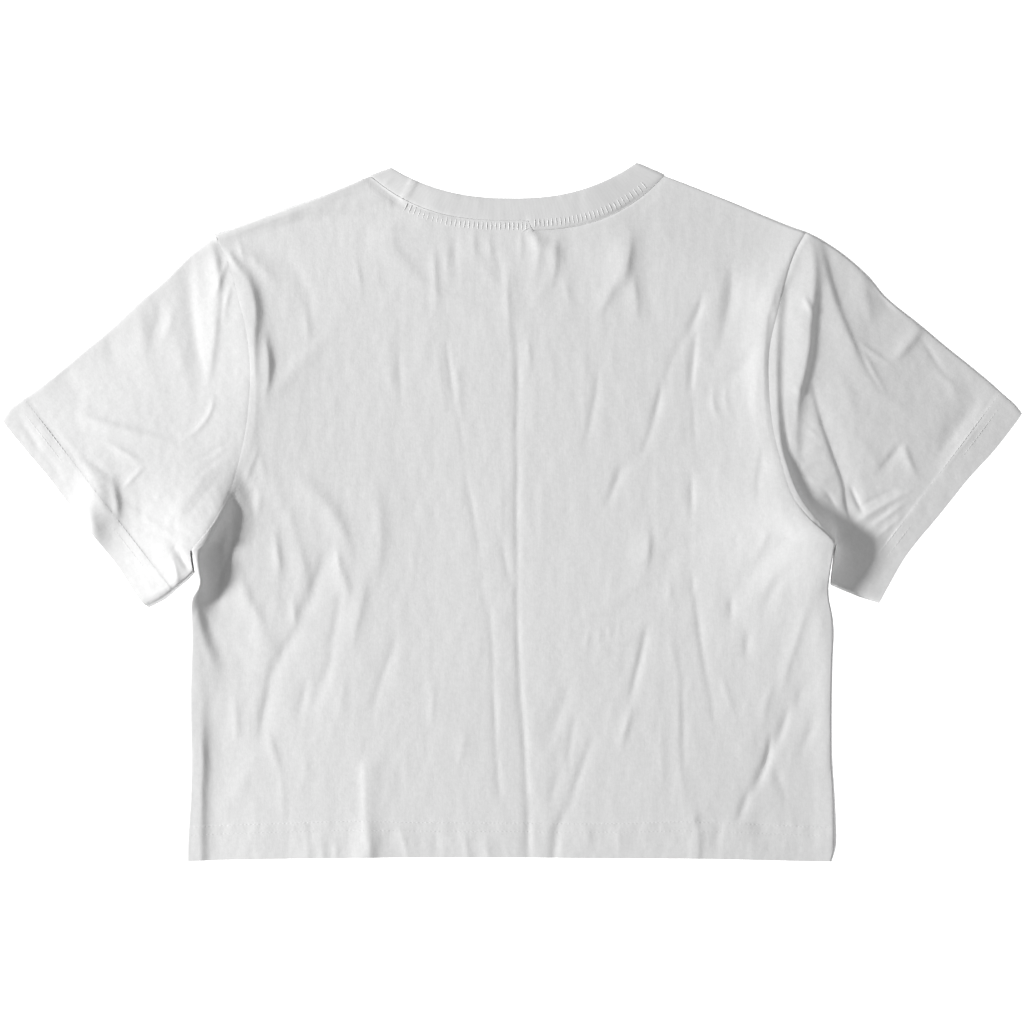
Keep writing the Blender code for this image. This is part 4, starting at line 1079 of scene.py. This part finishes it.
def make_neckband(cut, cloth):
    """The neckband: a doubled strip of rib, folded at its tips, its back half above."""
    corners = np.radians(np.linspace(0.0, 360.0, BAND_CORNERS + 1)[:-1])
    cosine, sine = np.cos(corners), np.sin(corners)
    inward = 0.5 - 0.5 * np.sign(cosine) * np.abs(cosine) ** BAND_SQUARENESS
    thick = 0.5 * BAND_BULGE * np.sign(sine) * np.abs(sine) ** BAND_SQUARENESS
    shares = even(0.0, 1.0, NECKBAND_STEP)
    halves = {}
    for which, (seam, edge) in NECKLINES.items():
        seam, edge = seam(shares)[:, None], edge(shares)[:, None]
        halves[which] = seam + inward[None, :, None] * (edge - seam)
    to_tip = np.minimum(shares, 1.0 - shares)[:, None] * TIP_TO_TIP + 0.0 * inward[None]
    top = upper_top(cut, halves["back"], to_tip) - 0.5 * BAND_BULGE + thick
    bottom = np.broadcast_to(0.5 * BAND_BULGE - thick, top.shape)
    back = np.dstack((halves["back"], top))
    front = np.dstack((halves["front"], bottom))[::-1]
    # Round each tip, from the upper layer to the lower one
    half = 0.5 * cut.edge_top / MM
    turns = np.radians(np.linspace(90.0, -90.0, TIP_TURNS + 2)[1:-1])[:, None]
    radius = half - 0.5 * BAND_BULGE + thick[None]
    tips = []
    for seam, edge in zip(NECK_POINTS, NECK_TIPS):
        seam, edge = np.array(seam), np.array(edge)
        along = (edge - seam) / np.linalg.norm(edge - seam)
        out = np.array((along[1], -along[0])) * np.sign(seam[0])
        spot = seam + inward[:, None] * (edge - seam)
        spot = spot + out * (radius * np.cos(turns))[..., None]
        tips.append(np.dstack((spot, half + radius * np.sin(turns))))
    rings = np.concatenate((back, tips[1], front, tips[0][::-1]))
    steps = np.linalg.norm(np.diff(rings.mean(axis=1), axis=0), axis=1)
    lengths = np.concatenate(((0.0,), np.cumsum(steps)))
    girth = np.linspace(0.0, BAND_GIRTH, BAND_CORNERS)
    flat = np.stack(np.meshgrid(lengths, girth, indexing="ij"), axis=-1)
    bm = placed_grid(rings, flat, close_columns=True, close_rows=True)
    bmesh.ops.recalc_face_normals(bm, faces=bm.faces)
    piece = new_piece("neckband_rib", bm, rib_material(cloth), ["neckband"])


# ---------------------------------------------------------------- sewing

NEEDLE_LINES = 0.4, 6.4  # how far below the top of a hem its two lines of stitches lie
STITCH_PITCH, RUNG_PITCH = 3.0, 3.3
STITCH_ENDS = 0.06, 0.94  # where the thread comes up and goes down, as shares of the pitch
# Points along a line of stitches, 1 mm apart: where they start and end, and their step
HEM_SHARES, CUFF_SHARES = (0.004, 0.996, 1.0 / 460.0), (0.0, 1.0, 1.0 / 175.0)
LADDER_START, LADDER_END = 0.13, 0.955  # how much of the back neck's seam the ladder covers
SEAM_LENGTH = 222.0
ROLLED_X = STEP_X + 3.0  # right of here the ladder lies on the band
STITCH_RADIUS, CUFF_STITCH_RADIUS, RUNG_RADIUS = 0.24, 0.22, 0.42
STITCH_SINK, CUFF_STITCH_SINK = 0.1, 0.16
RUNG_ON_BAND, RUNG_ON_BACK = (-2.2, -8.8), (0.8, 7.6)  # its ends, from the seam towards the hem


def stitch(bm, start, end, radius):
    """One visible length of thread from start to end, fattest in the middle."""
    start, end = Vector(start) * MM, Vector(end) * MM
    along = end - start
    stretch = Matrix.Diagonal((radius * MM, radius * MM, 0.5 * along.length, 1.0))
    turn = along.to_track_quat("Z", "Y").to_matrix().to_4x4()
    place = Matrix.Translation((start + end) / 2) @ turn @ stretch
    bmesh.ops.create_uvsphere(bm, u_segments=6, v_segments=4, radius=1.0, matrix=place)


def sewn_line(bm, places, heights, radius, sink):
    """Stitches end to end along a line of places, lying in the cloth."""
    steps = np.linalg.norm(np.diff(places, axis=0), axis=1)
    reach = np.concatenate(((0.0,), np.cumsum(steps)))
    for k in range(int(reach[-1] / STITCH_PITCH)):
        ends = []
        for share in STITCH_ENDS:
            at = (k + share) * STITCH_PITCH
            x, y = np.interp(at, reach, places[:, 0]), np.interp(at, reach, places[:, 1])
            ends.append((x, y, np.interp(at, reach, heights) - sink))
        stitch(bm, ends[0], ends[1], radius)


def make_hem_stitching(cut, cloth):
    """Two parallel lines of stitches along the bottom hem and round both cuffs."""
    bm = bmesh.new()
    across = even(*HEM_SHARES)
    for below in NEEDLE_LINES:
        depth = cut.body_hem / MM - below
        up = np.array((0.0, UNDERARM_SHARE * depth / SIDE_LENGTH, 1.0))
        points, to_fold = body_points(np.concatenate(((0.0,), across, (1.0,))), up, "back")
        line, fold = points[1, 1:-1], to_fold[1, 1:-1]
        z = upper_top(cut, line, fold) + cut.hem_ply / MM
        sewn_line(bm, line, z, STITCH_RADIUS, STITCH_SINK)
    for side in (-1, 1):
        down = even(*CUFF_SHARES)
        points, width = sleeve_patch(side, even(0.0, 1.0, 0.01), down)
        depths = from_cuff(side, points)
        for below in NEEDLE_LINES:
            depth = cut.sleeve_hem / MM - below
            line = np.array([
                (np.interp(-depth, -gap, row[:, 0]), np.interp(-depth, -gap, row[:, 1]))
                for gap, row in zip(depths, points)
            ])[2:-2]
            fold = (np.minimum(down, 1.0 - down) * width.mean())[2:-2]
            z = upper_top(cut, line, fold) + cut.hem_ply / MM
            sewn_line(bm, line, z, CUFF_STITCH_RADIUS, CUFF_STITCH_SINK)
    new_piece("hem_stitching", bm, thread_material(cloth), [])


def make_neck_stitching(cut, cloth):
    """The ladder stitch over the neck seam: where the seam is rolled down, it lies on the band."""
    bm = bmesh.new()
    seam = NECKLINES["back"][0]
    for share in np.arange(LADDER_START, LADDER_END, RUNG_PITCH / SEAM_LENGTH):
        here, ahead = seam(share), seam(share + 0.004)
        run = (ahead - here) / np.linalg.norm(ahead - here)
        across = np.array((run[1], -run[0]))
        rolled = here[0] > ROLLED_X
        from_tip = min(share, 1.0 - share) * TIP_TO_TIP
        ends = []
        for off in RUNG_ON_BAND if rolled else RUNG_ON_BACK:
            spot = here + across * off
            z = upper_top(cut, spot[None], np.array((from_tip + (0.0 if rolled else off),)))[0]
            ends.append((spot[0], spot[1], float(z) - STITCH_SINK))
        stitch(bm, ends[0], ends[1], RUNG_RADIUS)
    new_piece("neck_stitching", bm, thread_material(cloth), [])


# ---------------------------------------------------------------- materials

RIB_SPACING = 2.618  # in millimetres, drawn coarser than the rib's 1.2
NAP_GRAINS, THREAD_GRAINS = 700.0, 1500.0  # in each metre, drawn coarser than the fibres


def node(tree, kind, settings=(), values=(), links=()):
    """Add a shader node with its settings, its socket values and the links into it."""
    made = tree.nodes.new(kind)
    for name, value in dict(settings).items():
        setattr(made, name, value)
    for name, value in dict(values).items():
        made.inputs[name].default_value = value
    for name, source in dict(links).items():
        tree.links.new(source, made.inputs[name])
    return made


def new_material(name, finish):
    """A new material with its shader, which has the values of the finish."""
    material = bpy.data.materials.new(name)
    material.use_nodes = True
    tree = material.node_tree
    shader = tree.nodes["Principled BSDF"]
    for socket, value in finish.items():
        shader.inputs[socket].default_value = value
    return material, tree, shader


def noise(tree, place, scale, detail, roughness=0.5):
    """An uneven pattern over the places, as a socket."""
    values = {"Scale": scale, "Detail": detail, "Roughness": roughness}
    return node(tree, "ShaderNodeTexNoise", values=values, links={"Vector": place}).outputs["Fac"]


def mixed(tree, first, second, share):
    """Two patterns as one, with a share of the second."""
    settings, links = {"data_type": "FLOAT"}, {2: first, 3: second}
    return node(tree, "ShaderNodeMix", settings, {0: share}, links).outputs[0]


def dye(tree, shader, pattern, base, dark, light, low=0.0, high=1.0):
    """Colour the shader from dark to light times its base as the pattern goes from low to high."""
    ramp = node(tree, "ShaderNodeValToRGB", links={"Fac": pattern})
    first, last = ramp.color_ramp.elements
    first.position, last.position = low, high
    first.color = [c * dark for c in base] + [1.0]
    last.color = [min(c * light, 1.0) for c in base] + [1.0]
    tree.links.new(ramp.outputs["Color"], shader.inputs["Base Color"])


def emboss(tree, shader, pattern, strength, depth):
    """Raise the shader's surface where the pattern is high."""
    values = {"Strength": strength, "Distance": depth}
    bump = node(tree, "ShaderNodeBump", values=values, links={"Height": pattern})
    tree.links.new(bump.outputs["Normal"], shader.inputs["Normal"])


def jersey_material(cloth):
    """Cotton single jersey, knitted from ring-spun yarn and softened: matt, with fine wales
    that catch the light unevenly, and a thin nap that lightens it at a glance."""
    name = "CottonJersey"
    if name in bpy.data.materials:
        return bpy.data.materials[name]
    finish = {
        "Roughness": 0.92,
        "Specular IOR Level": 0.25,
        "Sheen Weight": 0.12,
        "Sheen Roughness": 0.5,
    }
    material, tree, shader = new_material(name, finish)
    place = node(tree, "ShaderNodeTexCoord").outputs["UV"]
    lengthwise = node(
        tree, "ShaderNodeMapping", values={"Scale": (1.0, 0.16, 1.0)}, links={"Vector": place}
    ).outputs["Vector"]
    wales = noise(tree, lengthwise, 1.0 / cloth.wale, 2.0, 0.6)
    slubs = noise(tree, place, 0.42 / cloth.wale, 4.0, 0.75)
    knit = mixed(tree, wales, slubs, 0.8)
    dye(tree, shader, knit, cloth.jersey, 0.93, 1.055, 0.25, 0.75)
    emboss(tree, shader, knit, 0.35, 0.5 * MM)
    return material


def rib_material(cloth):
    """Cotton 1x1 rib, knitted and folded double: matt, with fine ribs across the band."""
    finish = {"Roughness": 0.9, "Specular IOR Level": 0.25, "Sheen Weight": 0.12}
    material, tree, shader = new_material("CottonRib", finish)
    place = node(tree, "ShaderNodeTexCoord").outputs["UV"]
    ribs = node(
        tree,
        "ShaderNodeTexWave",
        settings={"bands_direction": "X"},
        values={"Scale": 0.1 * math.pi / (RIB_SPACING * MM), "Distortion": 0.8, "Detail": 2.0},
        links={"Vector": place},
    ).outputs["Fac"]
    knit = mixed(tree, ribs, noise(tree, place, NAP_GRAINS, 3.0, 0.7), 0.86)
    dye(tree, shader, knit, cloth.rib, 0.96, 1.02, 0.2, 0.8)
    emboss(tree, shader, knit, 0.15, 0.4 * MM)
    return material


def thread_material(cloth):
    """Spun polyester sewing thread: a little smoother and brighter than the cotton."""
    name = "SewingThread"
    if name in bpy.data.materials:
        return bpy.data.materials[name]
    material, tree, shader = new_material(name, {"Roughness": 0.7})
    place = node(tree, "ShaderNodeTexCoord").outputs["Object"]
    dye(tree, shader, noise(tree, place, THREAD_GRAINS, 2.0), cloth.thread, 0.93, 1.0)
    return material


# ---------------------------------------------------------------- stage

FIELD = 732.672 * MM  # width that the camera takes in
CAMERA_HEIGHT = 3.0
FLOOR_REACH, FLOOR_GAP = 3.0, 0.4 * MM
WHITE = (1.0, 1.0, 1.0, 1.0)

Lamp = namedtuple("Lamp", "name spot power width height")


def make_stage(light, cloth):
    """A pale backlit floor, a softbox on the left, a reflector on the right and the camera."""
    scene = bpy.context.scene
    bm = bmesh.new()
    bmesh.ops.create_grid(bm, x_segments=1, y_segments=1, size=FLOOR_REACH)
    mesh = bpy.data.meshes.new("floor")
    bm.to_mesh(mesh)
    bm.free()
    floor = bpy.data.objects.new("floor", mesh)
    scene.collection.objects.link(floor)
    floor.location.z = CAD_BOX[0].z - FLOOR_GAP
    finish = {
        "Base Color": list(cloth.floor) + [1.0],
        "Roughness": 1.0,
        "Emission Color": WHITE,
        "Emission Strength": light.floor_glow,
    }
    mesh.materials.append(new_material("PaleFloor", finish)[0])

    for lamp in (
        Lamp("softbox", (-3.39, 0.0, 1.48), light.key, 0.75, 0.53),
        Lamp("reflector", (2.42, 0.0, 1.4), light.reflector, 2.0, 1.5),
    ):
        area = bpy.data.lights.new(lamp.name, "AREA")
        area.shape = "RECTANGLE"
        area.size, area.size_y = lamp.width, lamp.height
        area.energy = lamp.power
        source = bpy.data.objects.new(lamp.name, area)
        scene.collection.objects.link(source)
        source.location = lamp.spot
        source.rotation_euler = Vector(lamp.spot).to_track_quat("Z", "Y").to_euler()

    world = bpy.data.worlds.new("white_room")
    world.use_nodes = True
    background = world.node_tree.nodes["Background"]
    background.inputs["Color"].default_value = WHITE
    background.inputs["Strength"].default_value = light.fill
    scene.world = world

    view = bpy.data.cameras.new("camera")
    view.sensor_width = 36.0
    view.lens = view.sensor_width * CAMERA_HEIGHT / FIELD
    camera = bpy.data.objects.new("camera", view)
    scene.collection.objects.link(camera)
    camera.location = (0.0, 0.0, CAMERA_HEIGHT)
    scene.camera = camera
    scene.view_settings.view_transform = "Standard"


# ---------------------------------------------------------------- operators and panel


class CROPTOP_OT_front(bpy.types.Operator):
    """Lay the front panel on the floor"""

    bl_idname = "croptop.front"
    bl_label = "Front Panel"

    def execute(self, context):
        make_front(context.scene.crop_top_cut, context.scene.crop_top_cloth)
        return {"FINISHED"}


class CROPTOP_OT_back(bpy.types.Operator):
    """Lay the back panel on the front one, with its creases"""

    bl_idname = "croptop.back"
    bl_label = "Back Panel"

    def execute(self, context):
        make_back(context.scene.crop_top_cut, context.scene.crop_top_cloth)
        return {"FINISHED"}


class CROPTOP_OT_sleeves(bpy.types.Operator):
    """Set both sleeves into the armholes"""

    bl_idname = "croptop.sleeves"
    bl_label = "Sleeves"

    def execute(self, context):
        cut, cloth = context.scene.crop_top_cut, context.scene.crop_top_cloth
        make_sleeve("left_sleeve", "sleeve_left", -1, cut, cloth)
        make_sleeve("right_sleeve", "sleeve_right", 1, cut, cloth)
        return {"FINISHED"}


class CROPTOP_OT_neckband(bpy.types.Operator):
    """Sew the doubled rib neckband round the neck"""

    bl_idname = "croptop.neckband"
    bl_label = "Neckband"

    def execute(self, context):
        make_neckband(context.scene.crop_top_cut, context.scene.crop_top_cloth)
        return {"FINISHED"}


class CROPTOP_OT_stitching(bpy.types.Operator):
    """Stitch the hems and the neck seam"""

    bl_idname = "croptop.stitching"
    bl_label = "Stitching"

    def execute(self, context):
        make_hem_stitching(context.scene.crop_top_cut, context.scene.crop_top_cloth)
        make_neck_stitching(context.scene.crop_top_cut, context.scene.crop_top_cloth)
        return {"FINISHED"}


class CROPTOP_OT_stage(bpy.types.Operator):
    """Set the floor, the studio light and the camera"""

    bl_idname = "croptop.stage"
    bl_label = "Stage"

    def execute(self, context):
        make_stage(context.scene.crop_top_light, context.scene.crop_top_cloth)
        return {"FINISHED"}


OPERATORS = (
    CROPTOP_OT_stage,
    CROPTOP_OT_front,
    CROPTOP_OT_back,
    CROPTOP_OT_sleeves,
    CROPTOP_OT_neckband,
    CROPTOP_OT_stitching,
)


class CROPTOP_PT_panel(bpy.types.Panel):
    """Lists the crop top's pieces in the sidebar"""

    bl_idname = "CROPTOP_PT_panel"
    bl_label = "Crop Top"
    bl_space_type = "VIEW_3D"
    bl_region_type = "UI"
    bl_category = "Crop Top"

    def draw(self, context):
        for operator in OPERATORS:
            self.layout.operator(operator.bl_idname)
        for group in ("crop_top_cut", "crop_top_cloth", "crop_top_light"):
            values = getattr(context.scene, group)
            for name in values.bl_rna.properties.keys()[2:]:
                self.layout.prop(values, name)


GROUPS = {
    "crop_top_cut": CropTopCut,
    "crop_top_cloth": CropTopCloth,
    "crop_top_light": CropTopLight,
}
CLASSES = (*GROUPS.values(), *OPERATORS, CROPTOP_PT_panel)


def register():
    """Add the classes, and the groups of properties to the scene."""
    for item in CLASSES:
        bpy.utils.register_class(item)
    for name, group in GROUPS.items():
        setattr(bpy.types.Scene, name, PointerProperty(type=group))


def unregister():
    """Take them away again."""
    for name in GROUPS:
        delattr(bpy.types.Scene, name)
    for item in reversed(CLASSES):
        bpy.utils.unregister_class(item)


def main():
    """Make every piece in order."""
    register()
    for operator in OPERATORS:
        family, name = operator.bl_idname.split(".")
        getattr(getattr(bpy.ops, family), name)()


if __name__ == "__main__":
    main()
